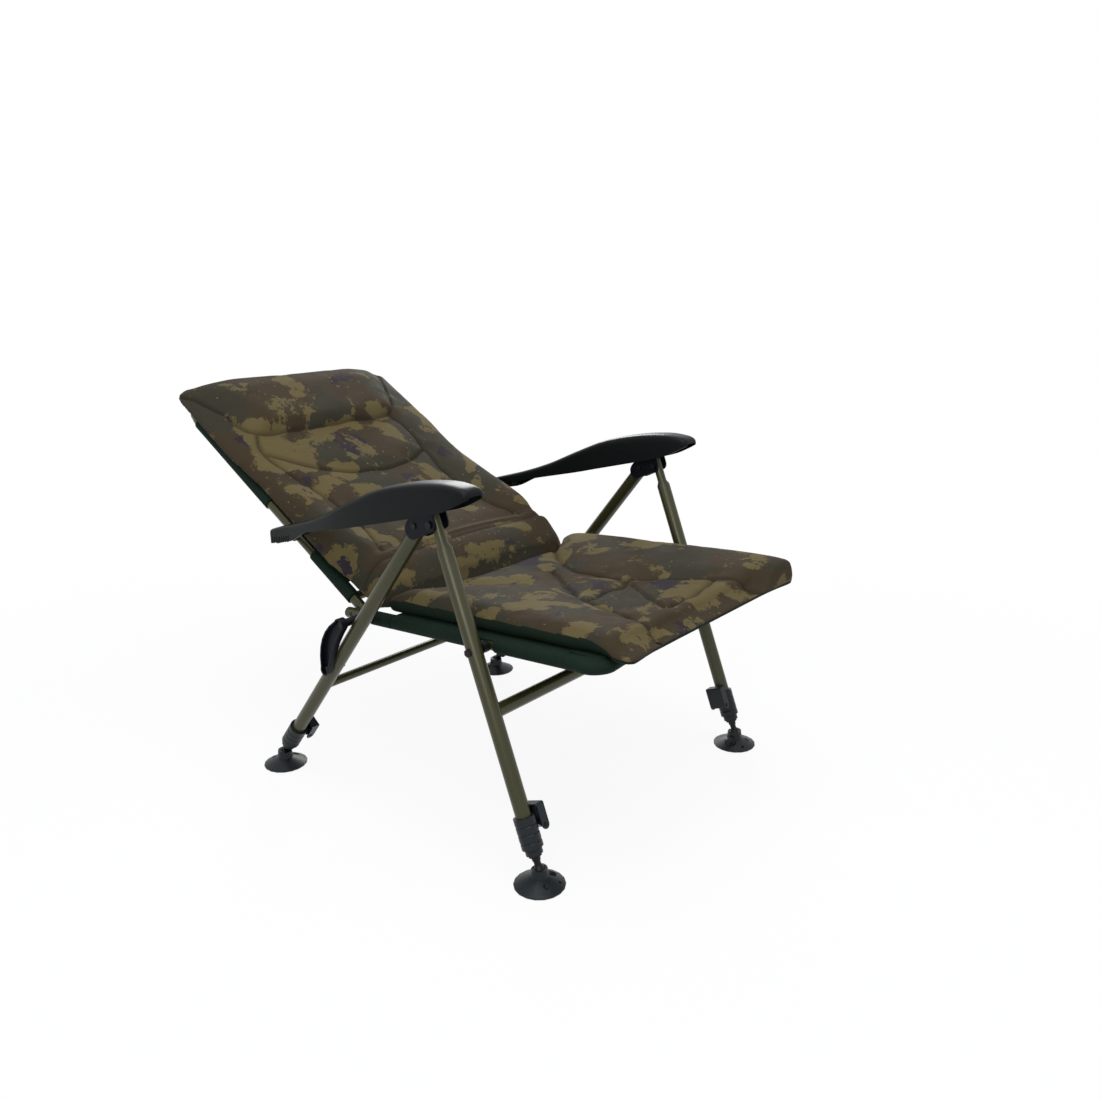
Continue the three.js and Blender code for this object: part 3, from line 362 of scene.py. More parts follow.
def strip_faces(rows, columns, close_columns=True, start=0):
    """Quads between neighbouring rows of a grid, closed round each row where asked."""
    steps = columns if close_columns else columns - 1
    row, column = np.meshgrid(np.arange(rows - 1), np.arange(steps), indexing="ij")
    here = row * columns + column
    beside = row * columns + (column + 1) % columns
    return (np.stack([here, beside, beside + columns, here + columns], -1).reshape(-1, 4) + start).tolist()


def outward(made):
    """The object's faces, turned to point out."""
    sheet = bmesh.new()
    sheet.from_mesh(made.data)
    bmesh.ops.remove_doubles(sheet, verts=sheet.verts, dist=MERGE_NEW)
    bmesh.ops.recalc_face_normals(sheet, faces=sheet.faces)
    sheet.to_mesh(made.data)
    sheet.free()
    return made


def sharpen(sheet, angle):
    """Edges sharper than the angle, in degrees, stay sharp in the shading."""
    for edge in sheet.edges:
        edge.smooth = edge.calc_face_angle(0.0) < math.radians(angle)


def smooth_copy(node, material, bevel, angle):
    """A merged copy of a CAD node with rounded edges, which takes the node's place."""
    source = frame["nodes"][node]
    mesh = source.data.copy()
    made = bpy.data.objects.new("skin_" + node, mesh)
    bpy.context.collection.objects.link(made)
    sheet = bmesh.new()
    sheet.from_mesh(mesh)
    bmesh.ops.remove_doubles(sheet, verts=sheet.verts, dist=MERGE_COPY)
    flat = math.radians(FLAT_ANGLE)
    bmesh.ops.dissolve_limit(sheet, angle_limit=flat, verts=sheet.verts, edges=sheet.edges)
    for face in sheet.faces:
        face.smooth = True
    sharpen(sheet, angle)
    sheet.to_mesh(mesh)
    sheet.free()
    mesh.materials.clear()
    mesh.materials.append(material)
    if bevel:
        rounding = made.modifiers.new("edges", "BEVEL")
        rounding.width = bevel
        rounding.segments = 2
        rounding.limit_method = "ANGLE"
        rounding.angle_limit = math.radians(angle)
        rounding.harden_normals = True
    return made


def body_of_node(node):
    """The body that holds a node."""
    for body, nodes in frame["record"]["behaviour"]["bodies"].items():
        if node in nodes:
            return body
    raise ValueError(node)


def slot_of_node(node):
    """The material slot of a node."""
    return next(part["material_slot"] for part in frame["record"]["subparts"] if part["node"] == node)


def stand_for(made, *nodes):
    """The piece rides on its node's body and replaces it."""
    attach(made, body_of_node(nodes[0]))
    slot_of_node(nodes[0])
    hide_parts(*nodes)
    return made


# Making the pads


def to_world(x, along, height, hinge, angle):
    """Points of a frame's own axes, turned about X by the frame's angle and moved to its hinge."""
    turn = math.radians(angle)
    y = hinge[0] + along * math.cos(turn) - height * math.sin(turn)
    z = hinge[1] + along * math.sin(turn) + height * math.cos(turn)
    return np.stack([np.broadcast_to(x, y.shape), y, z], -1)


def to_frame(points, hinge, angle):
    """The inverse of to_world: x, distance along the frame, and height over it."""
    turn = math.radians(angle)
    y, z = points[:, 1] - hinge[0], points[:, 2] - hinge[1]
    return points[:, 0], y * math.cos(turn) + z * math.sin(turn), z * math.cos(turn) - y * math.sin(turn)


def lines_distance(x, y, lines):
    """The distance from each point to the nearest of several broken lines, which are in millimetres."""
    nearest = np.full(len(x), 1.0)
    for line in lines:
        spots = np.array(line) / 1000
        for a, b in zip(spots[:-1], spots[1:]):
            step = b - a
            share = np.clip(((x - a[0]) * step[0] + (y - a[1]) * step[1]) / (step @ step), 0, 1)
            nearest = np.minimum(nearest, np.hypot(x - a[0] - share * step[0], y - a[1] - share * step[1]))
    return nearest


def curved(points, steps=6):
    """A smooth line through points, by cubic pieces with the neighbours' slopes."""
    spots = np.array([points[0], *points, points[-1]], float)
    made = []
    for before, a, b, after in zip(spots[:-3], spots[1:-2], spots[2:-1], spots[3:]):
        t = np.linspace(0, 1, steps, endpoint=False)[:, None]
        made.append(0.5 * (2 * a + (b - before) * t + (2 * before - 5 * a + 4 * b - after) * t ** 2
                           + (3 * a - before - 3 * b + after) * t ** 3))
    return np.concatenate([*made, spots[-1:]]).tolist()


def puff(made, cap):
    """Voxel remesh, then a short cloth run under pressure, with a limit on how far a point may move."""
    bpy.context.view_layer.objects.active = made
    remesh = made.modifiers.new("remesh", "REMESH")
    remesh.mode, remesh.voxel_size = "VOXEL", VOXEL
    apply_all(made)
    count = len(made.data.vertices)
    start = np.empty(count * 3)
    made.data.vertices.foreach_get("co", start)
    cloth = made.modifiers.new("cloth", "CLOTH")
    cloth.settings.use_pressure = True
    cloth.settings.uniform_pressure_force = CLOTH_PRESSURE
    cloth.settings.effector_weights.gravity = 0.0
    cloth.settings.tension_stiffness = CLOTH_STIFFNESS
    cloth.settings.compression_stiffness = CLOTH_STIFFNESS
    cloth.settings.bending_stiffness = CLOTH_BENDING
    cloth.point_cache.frame_start, cloth.point_cache.frame_end = 1, CLOTH_FRAMES
    for step in range(1, CLOTH_FRAMES + 1):
        bpy.context.scene.frame_set(step)
    final = made.evaluated_get(bpy.context.evaluated_depsgraph_get()).to_mesh()
    moved = np.empty(count * 3)
    final.vertices.foreach_get("co", moved)
    made.modifiers.clear()
    bpy.context.scene.frame_set(1)
    start, moved = start.reshape(-1, 3), moved.reshape(-1, 3)
    offset = moved - start
    length = np.linalg.norm(offset, axis=1, keepdims=True)
    limited = start + offset * (cap * np.tanh(length / cap) / np.maximum(length, 1e-9))
    made.data.vertices.foreach_set("co", limited.ravel())
    return made


def apply_all(made):
    """The object's modifiers, applied to its mesh."""
    final = bpy.data.meshes.new_from_object(made.evaluated_get(bpy.context.evaluated_depsgraph_get()))
    made.modifiers.clear()
    old, made.data = made.data, final
    bpy.data.meshes.remove(old)
    return made


def subdivide(made):
    """One level of subdivision, applied."""
    divide = made.modifiers.new("divide", "SUBSURF")
    divide.levels = divide.render_levels = 1
    return apply_all(made)


def coordinates(made):
    """The object's points as rows of x, y and z."""
    points = np.empty(len(made.data.vertices) * 3)
    made.data.vertices.foreach_get("co", points)
    return points.reshape(-1, 3)


def pad_shell(name, base_along, base_height, lean, half, heights, hinge, angle, material):
    """Sections across the chair: an upper face of given heights over a base line, and a lower face on it.

    Each section starts at its base point and rises in the direction of its lean.
    Across it, the place goes with the sine of an even angle, so points gather at the rims.
    """
    rows = len(base_along)
    across = np.sin(np.linspace(-np.pi / 2, np.pi / 2, PAD_COLUMNS))
    rim = np.sqrt(np.maximum(0, 1 - np.abs(across) ** RIM_POWER))
    top = heights(across) * (RIM_SHARE + (1 - RIM_SHARE) * rim)[None, :]
    x_top = half[:, None] * across[None, :]
    x_low = half[:, None] * across[None, ::-1][:, 1:-1] * UNDER_SHARE
    x = np.concatenate([x_top, x_low], 1)
    rise = np.concatenate([np.maximum(top, EDGE_HEIGHT), np.full(x_low.shape, UNDER_HEIGHT)], 1)
    cosine, sine = np.cos(lean)[:, None], np.sin(lean)[:, None]
    along = base_along[:, None] + cosine * rise
    height = base_height[:, None] + sine * rise
    points = to_world(x, along, height, hinge, angle).reshape(-1, 3)
    ring = x.shape[1]
    faces = strip_faces(rows, ring)
    faces.append(list(range(ring))[::-1])
    faces.append(list(range((rows - 1) * ring, rows * ring)))
    return outward(piece(name, points, faces, material))


def press_seams(x, y, z, seams, full, depth, width, waves):
    """Height pressed in along the seams, and the distance from them.

    A seam is a wide bell of the given depth and width with a narrow one in it, and a sine's puckers beside.
    It fades in between the start of the seams and the full height over the base.
    """
    top = ease(z, PAD_BASE + SEAM_START, PAD_BASE + full)
    spread = lines_distance(x, y, seams)
    z = z - top * (depth * hump(spread, width) + GROOVE_DEPTH * hump(spread, GROOVE_WIDTH))
    puckers = np.sin(x * waves[0] + 3 * np.sin(y * waves[1]))
    return z + top * PUCKER_HEIGHT * puckers * hump(spread, PUCKER_WIDTH), spread


# Seat, in metres from its pivot, with its seams in millimetres
SLEEVE_HALF = 0.261
SLEEVE_FRONT = -0.205
SLEEVE_RADIUS = 0.0122
SLEEVE_BORE = 0.0099
POUCH_BEND = 0.026
POUCH_SPARE = 0.0079
SEAT_REACH = 0.320
SEAT_FRONT = -0.252
SEAT_REAR = 0.258
SEAT_ROUND = 0.012
SEAT_MOVE = 0.005
DRAPE_SHARE = 0.7
DRAPE_HEIGHTS = 0.030, 0.050
TIP_ACROSS = 0.17, 0.26
TIP_AHEAD = 0.17, 0.25
TIP_LIFT = 0.6
TIP_MOVE = 0.006, 0.012
SEAT_SEAMS = [
    curved([(205, 250), (120, 180), (55, 90), (42, 15), (40, -42), (76, -100), (150, -262)]),
    curved([(-205, 250), (-120, 180), (-62, 100)]),
    curved([(30, 115), (-50, 14), (-100, -60)]),
    curved([(-100, -60), (-45, -56), (0, -62), (40, -42)]),
    curved([(40, -42), (-22, -121), (-65, -190)]),
    curved([(-65, -190), (15, -190), (90, -176), (110, -172)]),
    curved([(-100, -60), (-130, -150), (-165, -262)]),
]

# Where the wings of the seat begin, as (distance along the seat, distance from the middle) in metres
WING_LEFT = np.array([(-0.26, 0.150), (-0.10, 0.078), (-0.04, 0.045), (0.02, 0.045), (0.09, 0.058),
                      (0.18, 0.120), (0.25, 0.205)])
WING_RIGHT = np.array([(-0.26, 0.165), (-0.15, 0.130), (-0.06, 0.100), (0.02, 0.075), (0.10, 0.065),
                       (0.18, 0.120), (0.25, 0.205)])
WING_RIM = 0.247
WING_POWER = 0.85
CREST_LEFT = 0.0445
CREST_RIGHT = 0.031


def seat_heights(along):
    """Upper face of the seat pad: a low middle, and wings that rise from their seams to the rims.

    The left wing stands high to its front end. The right one and the middle droop at the front.
    """
    def heights(across):
        x = np.abs(across)[None, :] * PAD_HALF
        far = across[None, :] > 0
        back = ease(along, -0.25, 0.1)[:, None]
        left, right = (np.interp(along, *line.T)[:, None] for line in (WING_LEFT, WING_RIGHT))
        start = np.where(far, left, right)
        wing = np.clip((x - start) / (WING_RIM - start), 0, 1) ** WING_POWER
        crest = np.where(far, CREST_LEFT, CREST_RIGHT + 0.004 * back)
        valley = 0.0195 + 0.0025 * (1 - back)
        nose = ease(along, SEAT_FRONT - 0.004, SEAT_FRONT + 0.055)[:, None]
        low = np.where(far, 0.38 + 0.62 * ease(wing, 0.0, 0.6), 0.38)
        rear = 1 - 0.28 * ease(along, 0.222, 0.27)[:, None] * wing
        return (valley + (crest - valley) * wing) * (low + (1 - low) * nose) * rear
    return heights


def frame_distance(x, y):
    """How far each point lies outside the middle line of the front sleeve, whose corners are round."""
    ahead = np.maximum(0, SLEEVE_FRONT + POUCH_BEND - y)
    beside = np.maximum(0, np.abs(x) - (SLEEVE_HALF - POUCH_BEND))
    return np.where((ahead > 0) & (beside > 0), np.hypot(ahead, beside), ahead) - POUCH_BEND


def make_seat_pad():
    """Sections along the seat, level at its base, whose front corners are quarter circles seen from above.

    A drum about the back's hinge is cut out of its rear end. The puffed pad is pressed in along its seams,
    pushed clear of the drum, and lowered where it drapes over the front sleeve.
    """
    front = SEAT_FRONT + SEAT_ROUND * (1 - np.cos(np.linspace(0, np.pi / 2, 5)))[:-1]
    along = np.concatenate([front, np.linspace(SEAT_FRONT + SEAT_ROUND, SEAT_REAR, 60)])
    ahead = np.maximum(0, SEAT_ROUND - (along - SEAT_FRONT))
    inset = SEAT_ROUND - np.sqrt(np.maximum(0, SEAT_ROUND ** 2 - ahead ** 2))
    half = PAD_HALF - PAD_INSET - inset
    level, upright = np.full(len(along), PAD_BASE), np.full(len(along), np.pi / 2)
    made = pad_shell("seat_pad", along, level, upright, half, seat_heights(along),
                     SEAT_PIVOT, SEAT_ANGLE, CAMO_SEAT)
    drum = roll_cutter("hollow", ROLL_GAP)
    scoop = made.modifiers.new("scoop", "BOOLEAN")
    scoop.operation, scoop.object, scoop.solver = "DIFFERENCE", drum, "EXACT"
    apply_all(made)
    bpy.data.objects.remove(drum)
    puff(made, SEAT_MOVE)
    subdivide(made)
    x, y, z = to_frame(coordinates(made), SEAT_PIVOT, SEAT_ANGLE)
    reach = np.hypot(y - SEAT_REACH, z)
    z, spread = press_seams(x, y, z, SEAT_SEAMS, *SEAT_PRESS)
    hollow = roll_radius(x) + ROLL_GAP
    stretch = np.where(reach < hollow, hollow / np.maximum(reach, 1e-6), 1.0)
    y, z = SEAT_REACH + (y - SEAT_REACH) * stretch, z * stretch
    z = np.maximum(z, PAD_BASE - PAD_PRESS)
    outside = np.clip(frame_distance(x, y), 0, SLEEVE_RADIUS)
    fall = SLEEVE_RADIUS - np.sqrt(SLEEVE_RADIUS ** 2 - outside ** 2)
    drape = DRAPE_SHARE * fall * (1 - ease(z, *DRAPE_HEIGHTS))
    tip = ease(-x, *TIP_ACROSS) * ease(-y, *TIP_AHEAD)
    drape = drape * (1 - TIP_LIFT * tip)
    z = z - drape
    x, y = x - TIP_MOVE[0] * tip, y - TIP_MOVE[1] * tip
    made.data.vertices.foreach_set("co", to_world(x, y, z, SEAT_PIVOT, SEAT_ANGLE).ravel())
    line = PAD_BASE + 0.007 + 0.018 * ease(y, SEAT_FRONT, SEAT_FRONT + 0.10) - drape
    side = np.maximum(np.abs(x) - (PAD_HALF - 0.012), (SEAT_FRONT + 0.009) - y)
    over = np.where(side > 0, z - line, z + drape - PAD_BASE - 0.006)
    mark(made, "print", 0.5 + over / PRINT_BAND)
    # Painted shade: a dark line along the seams' grooves.
    mark(made, "seam", hump(spread, SEAM_SHADE_WIDTH))
    return finish_pad(made, "seat_cushion")


def mark(made, name, values):
    """A value of each point that the material reads: the printed side of the rim, or the painted shade along the
    seams and the roll's fold.
    """
    layer = made.data.attributes.new(name, "FLOAT", "POINT")
    layer.data.foreach_set("value", np.clip(values, 0, 1))


def finish_pad(made, node):
    """The pad, smooth and in its node's place."""
    made.data.polygons.foreach_set("use_smooth", np.full(len(made.data.polygons), True))
    made.data.update()
    stand_for(made, node)
    return made


def roll_radius(x):
    """The radius of the back's roll, which falls with the square of the distance from its middle."""
    return ROLL + ROLL_CROWN * np.maximum(0, 1 - (x / ROLL_HALF) ** 2)


DRUM_HALF = 0.35
DRUM_COLUMNS = 120
DRUM_RINGS = 41


def roll_cutter(name, gap):
    """A drum about the back's hinge, wider than the pads and a gap larger than the roll."""
    x = np.concatenate([[-DRUM_HALF], np.linspace(-ROLL_HALF, ROLL_HALF, DRUM_RINGS), [DRUM_HALF]])
    rows = len(x)
    angles = np.linspace(0, 2 * np.pi, DRUM_COLUMNS, endpoint=False)
    radius = (roll_radius(x) + gap)[:, None]
    across = np.broadcast_to(x[:, None], (rows, DRUM_COLUMNS))
    y, z = BACK_HINGE[0] + radius * np.cos(angles), BACK_HINGE[1] + radius * np.sin(angles)
    rings = np.stack([across, y, z], -1)
    faces = strip_faces(rows, DRUM_COLUMNS)
    faces += [list(range(DRUM_COLUMNS)), list(range((rows - 1) * DRUM_COLUMNS, rows * DRUM_COLUMNS))]
    return outward(piece(name, rings.reshape(-1, 3), faces, OLIVE))


# Back, in metres from its hinge, with its seams in millimetres
BACK_END = 0.637
BACK_CORNER = 0.052
BACK_ROUND = 0.012
BACK_WIDER = 0.013
BACK_MOVE = 0.006
FOLD_ANGLE = 72
ROLL_CORE = 0.020
ROLL_ANGLES = np.radians(np.arange(135, 55, -5))
BACK_START = 0.055
BACK_SEAMS = [
    curved([(-252, 602), (-216, 520), (-186, 446), (-76, 439), (40, 443), (150, 447), (200, 520),
            (240, 606)]),
    curved([(-186, 446), (-205, 395), (-196, 320), (-172, 230), (-165, 139), (-187, 56)]),
    curved([(150, 447), (160, 395), (150, 320), (140, 230), (150, 139), (175, 56)]),
    curved([(-204, 388), (-150, 335), (-83, 298), (20, 285), (90, 296), (150, 320)]),
    curved([(-172, 190), (-90, 172), (0, 166), (80, 172), (142, 190)]),
]

# Height of the back pad's side bolsters over the pad's base, as (distance along the back, height) in metres
BACK_RIM = np.array([(0.055, 0.070), (0.075, 0.071), (0.135, 0.061), (0.194, 0.049), (0.288, 0.033),
                     (0.371, 0.027), (0.46, 0.023), (0.60, 0.020)])
ROLL_SWELL = 0.014


def back_heights(along, rolled, turns):
    """Upper face of the back pad: lumbar roll, quilted middle, and a headrest with a crease below it."""
    def heights(across):
        x = np.abs(across)[None, :]
        share = ((along - BACK_START) / (BACK_END - BACK_START))[:, None]
        body = 0.0415 - 0.009 * ease(share, 0.0, 0.45) - 0.003 * ease(share, 0.45, 0.66)
        lumbar = ROLL_CROWN * (1 - ease(along, BACK_START, 3 * BACK_START))[:, None] * (1 - x ** 2)
        head_half = (np.interp(along, [0.44, 0.575, 0.63], [0.190, 0.240, 0.262]) / PAD_HALF)[:, None]
        head = 0.017 * ease(share, 0.655, 0.70) * (1 - ease(share, 0.86, 1.0)) * (
            1 - ease(x, head_half - 0.22, head_half + 0.02))
        bolster = np.interp(along, *BACK_RIM.T)[:, None] * (1 - 0.3 * ease(x, 0.94, 1.0))
        side = ease(x, 0.50, 0.90)
        drop = 1 - 0.62 * ease(share, 0.955, 1.0)
        flat = ((body + lumbar) * (1 - side) + bolster * side + head) * drop
        rim = 1 - 0.12 * ease(x, 0.97, 1.0)
        swell = ROLL_SWELL * side * (1 - ease(turns, 60, 100))[:, None]
        roll = (roll_radius(across[None, :] * ROLL_HALF) + swell - ROLL_CORE) * rim
        return np.where(rolled[:, None], roll, flat)
    return heights


def make_back_pad():
    """Sections that fan about a core at the hinge, then follow the back to a top with round corners.

    The puffed pad is pressed in along its seams and at the roll's fold, and the roll's radius has a limit.
    """
    rows = np.concatenate([np.linspace(BACK_START, BACK_END - BACK_ROUND, 70),
                           BACK_END - BACK_ROUND * (1 - np.sin(np.linspace(0, np.pi / 2, 6)))[1:]])
    rolled = np.concatenate([np.full(len(ROLL_ANGLES), True), np.full(len(rows), False)])
    along = np.concatenate([ROLL_CORE * np.cos(ROLL_ANGLES), rows])
    height = np.concatenate([ROLL_CORE * np.sin(ROLL_ANGLES), np.full(len(rows), PAD_BASE)])
    lean = np.concatenate([ROLL_ANGLES, np.full(len(rows), np.pi / 2)])
    near_end = np.maximum(0, BACK_CORNER - (BACK_END - rows))
    inset = BACK_CORNER - np.sqrt(np.maximum(0, BACK_CORNER ** 2 - near_end ** 2))
    wide = ROLL_HALF + (PAD_HALF - PAD_INSET - ROLL_HALF) * ease(rows, BACK_START, 2 * BACK_START)
    wide = wide + BACK_WIDER * ease(rows, 0.3, 0.45)
    half = np.concatenate([np.full(len(ROLL_ANGLES), ROLL_HALF), np.maximum(wide - inset, 0.02)])
    made = pad_shell("back_pad", along, height, lean, half, back_heights(along, rolled, np.degrees(lean)),
                     BACK_HINGE, BACK_ANGLE, CAMO_BACK)
    puff(made, BACK_MOVE)
    subdivide(made)
    x, y, z = to_frame(coordinates(made), BACK_HINGE, BACK_ANGLE)
    z, spread = press_seams(x, y, z, BACK_SEAMS, *BACK_PRESS)
    reach, angle = np.hypot(y, z), np.degrees(np.arctan2(z, y))
    from_fold = (angle - FOLD_ANGLE + 60 * x ** 2) * math.radians(1) * ROLL
    fold_shade = (y < BACK_START + 0.03) * hump(from_fold, 0.003)
    fold = hump(from_fold, 0.007) * ease(reach, 0.045, 0.06)
    low = (y < BACK_START + 0.03) & (reach < 0.12)
    reach = np.where(low, reach - 0.008 * fold, reach)
    limit = roll_radius(x) + ROLL_SWELL * ease(np.abs(x), 0.13, 0.23) * (1 - ease(angle, 60, 100))
    capped = np.where((angle > 64) & (reach > limit), limit, reach)
    y, z = capped * np.cos(np.radians(angle)), capped * np.sin(np.radians(angle))
    z = np.where(y > 0.05, np.maximum(z, PAD_BASE - PAD_PRESS), z)
    widest = 0.262 + 0.03 * (1 - ease(y, 0.08, 0.11)) + 0.03 * ease(y, 0.28, 0.32)
    x = np.clip(x, -widest, widest)
    made.data.vertices.foreach_set("co", to_world(x, y, z, BACK_HINGE, BACK_ANGLE).ravel())
    rim = PAD_HALF - 0.010 + BACK_WIDER * ease(y, 0.3, 0.45)
    side = np.maximum(np.abs(x) - rim, y - (BACK_END - 0.008))
    shown = 0.5 + (z - PAD_BASE - np.where(side > 0, 0.010, 0.005)) / PRINT_BAND
    mark(made, "print", np.where(y < 0.05, 1.0, shown))
    # Painted shade: dark lines along the seams' grooves and in the roll's fold.
    mark(made, "seam", np.maximum(hump(spread, SEAM_SHADE_WIDTH), 0.8 * fold_shade))
    return finish_pad(made, "back_cushion")


# Armrests, in metres from their pivot: places along Y, and heights as shares of the depth below the peak
ARM_PIVOT = np.array(JOINTS["arm_lift"]["pos_m"][1:])
ARM_REACH = 0.293
ARM_WIDTH = 0.050
ARM_WALL = 0.003
ARM_ROOF = 0.004
ARM_NOSE = 0.087
ARM_LENGTH = 0.5048
ARM_PEAK = 0.036
ARM_DEPTH = 0.1646
ARM_SKIRT = 0.012
ARM_INWARD = 0.010
ARM_SHOULDER = 0.017
ARM_SHOULDER_SHARE = 0.775
ARM_TOP = [(0, 0.918), (0.010, 0.950), (0.035, 0.972), (0.108, 0.985), (0.232, 0.944), (0.378, 0.841),
           (0.522, 0.665), (0.659, 0.482), (0.797, 0.335), (0.95, 0.205), (1, 0.158)]
ARM_EDGE = [(0, 0.872), (0.049, 0.794), (0.098, 0.729), (0.181, 0.659), (0.404, 0.494), (0.522, 0.406),
            (0.722, 0.271), (0.846, 0.18), (1, 0.08)]
ARM_HALF = [(0, 0.66), (0.008, 0.82), (0.025, 0.92), (0.06, 0.97), (0.14, 1), (0.45, 1), (0.7, 0.84),
            (0.97, 0.66), (0.99, 0.62), (1, 0.52)]
ARM_INWARD_SHARES = 0.55, 0.95
ARM_SKIRT_SHARES = 0.76, 0.88
ARM_CLOSING_SHARES = 0.983, 0.990
ARM_CREASE = 40.0
ARC_POINTS = 33
ARC_POWER = 0.5
WALL_POINTS = 8
LIP_SPARE = 0.0005
RIB_COUNT = 8
RIB_PITCH = 0.0072
RIB_DEPTH = 0.0011
RIB_HEIGHT = 0.013
RIB_START = 0.004
RIB_FADE = 0.002
POCKET_DEPTH = 0.0016
POCKET_REACH = 0.005, 0.008
LUG_COLUMNS = 48
LUG_RADIUS = 0.011
LUG_BORE = 0.0042
LUG_RISE = 0.0165
LUG_THICKNESS = 0.004
LUG_GAP = 0.0003
TOOTH_COUNT = 8
TOOTH_PITCH = 0.009
TOOTH_THICKNESS = 0.0024
TOOTH_HEIGHT = 0.015
TOOTH_START = -0.0054
TOOTH_TIP = 0.0039
RACK_START = np.array([0.40989, -0.12657])
RACK_SLOPE = math.radians(-14.25)


def followed(pairs, share):
    """A smooth line through pairs of shares, read at given shares."""
    line = np.array(curved(pairs, 12))
    return np.interp(share, line[:, 0], line[:, 1])


def arm_section(share, side, wall, roof):
    """Points across the armrest, from its left lower edge over the top to its right lower edge.

    Each wall is straight, and the top is an arc whose width and fall go with a power of cosine and sine.
    """
    middle = -side * ARM_INWARD * ease(share, *ARM_INWARD_SHARES)
    half = ARM_WIDTH / 2 * followed(ARM_HALF, share) - wall
    low = ARM_PEAK - ARM_DEPTH * (1 - followed(ARM_EDGE, share))
    high = ARM_PEAK - ARM_DEPTH * (1 - followed(ARM_TOP, share)) - roof
    place = -ARM_NOSE + ARM_LENGTH * share
    from_end = (1 - share) * ARM_LENGTH
    ribs = (0.5 - 0.5 * np.cos(2 * np.pi * (from_end - RIB_START) / RIB_PITCH)) * (
        (from_end > RIB_START) & (from_end < RIB_START + RIB_COUNT * RIB_PITCH))
    skirt = ARM_SKIRT * ease(share, *ARM_SKIRT_SHARES)
    outer_low = low - skirt - ribs * RIB_DEPTH * (wall == 0)
    lows = {side: outer_low, -side: low}
    shoulder = np.minimum(ARM_SHOULDER, (high - low) * ARM_SHOULDER_SHARE)
    angles = np.linspace(0, np.pi, ARC_POINTS)
    x = np.sign(np.cos(angles)) * np.abs(np.cos(angles)) ** ARC_POWER * half[:, None] + middle[:, None]
    z = high[:, None] - shoulder[:, None] * (1 - np.sin(angles) ** ARC_POWER)
    share_up = np.linspace(0, 1, WALL_POINTS + 1)[:-1]
    walls = []
    for hand, spring in ((1, 0), (-1, ARC_POINTS - 1)):
        up = lows[hand][:, None] + (z[:, spring:spring + 1] - lows[hand][:, None]) * share_up
        out = middle[:, None] + hand * half[:, None] + 0 * up
        if hand == side:
            band = 1 - ease(up - outer_low[:, None], RIB_HEIGHT - RIB_FADE, RIB_HEIGHT)
            out = out + hand * RIB_DEPTH * ribs[:, None] * band * (wall == 0)
            near = np.hypot(place[:, None], up)
            out = out + hand * POCKET_DEPTH * (1 - ease(near, *POCKET_REACH)) * (wall > 0)
        walls.append((out, up))
    (first_x, first_z), (last_x, last_z) = walls
    x = np.concatenate([first_x, x, last_x[:, ::-1]], 1)
    z = np.concatenate([first_z, z, last_z[:, ::-1]], 1)
    return x, np.broadcast_to(place[:, None], x.shape), z


def arm_block(middle, size, slope):
    """The corners and faces of a block whose section in the side view is turned by a slope."""
    corners = np.array([(i, j, k) for i in (-0.5, 0.5) for j in (-0.5, 0.5) for k in (-0.5, 0.5)]) * size
    y = corners[:, 1] * math.cos(slope) - corners[:, 2] * math.sin(slope)
    z = corners[:, 1] * math.sin(slope) + corners[:, 2] * math.cos(slope)
    points = np.stack([corners[:, 0], y, z], -1) + middle
    return points, [(0, 1, 3, 2), (4, 6, 7, 5), (0, 4, 5, 1), (2, 3, 7, 6), (0, 2, 6, 4), (1, 5, 7, 3)]


def arm_lug(start, end):
    """A plate with a bore, whose outline covers a row of circles that shrink from the bore to the roof."""
    angles = np.linspace(0, 2 * np.pi, LUG_COLUMNS, endpoint=False)
    shares = np.linspace(0, 1, 21)[:, None]
    centre, radius = LUG_RISE * shares, LUG_RADIUS - LUG_RADIUS / 2 * shares
    ahead = centre * np.sin(angles)
    inside = radius ** 2 - centre ** 2 + ahead ** 2
    outline = np.where(inside > 0, ahead + np.sqrt(np.maximum(inside, 0)), 0).max(0)
    bore = np.full(LUG_COLUMNS, LUG_BORE)
    loops = [(start, outline), (end, outline), (end, bore), (start, bore)]
    points = np.concatenate([
        np.stack([np.full(LUG_COLUMNS, x), reach * np.cos(angles), reach * np.sin(angles)], -1)
        for x, reach in loops])
    here = np.arange(LUG_COLUMNS)
    beside = (here + 1) % LUG_COLUMNS
    faces = []
    for loop in range(4):
        a, b = loop * LUG_COLUMNS, (loop + 1) % 4 * LUG_COLUMNS
        faces += np.stack([a + here, a + beside, b + beside, b + here], -1).tolist()
    return points, faces


def rack_tooth(number, side):
    """A block on the rack's line, which runs back and up at the rack's slope from its start."""
    along = np.array([math.cos(RACK_SLOPE), math.sin(RACK_SLOPE)])
    up = np.array([-math.sin(RACK_SLOPE), math.cos(RACK_SLOPE)])
    spot = RACK_START + along * (TOOTH_START - TOOTH_PITCH * number) + up * (TOOTH_TIP + TOOTH_HEIGHT / 2)
    share = min(1.0, (spot[0] + ARM_NOSE) / ARM_LENGTH)
    middle = -side * ARM_INWARD * float(ease(share, *ARM_INWARD_SHARES))
    reach = ARM_WIDTH * float(followed(ARM_HALF, share)) - ARM_WALL
    size = np.array([reach, TOOTH_THICKNESS, TOOTH_HEIGHT])
    return arm_block(np.array([middle, *spot]), size, RACK_SLOPE)


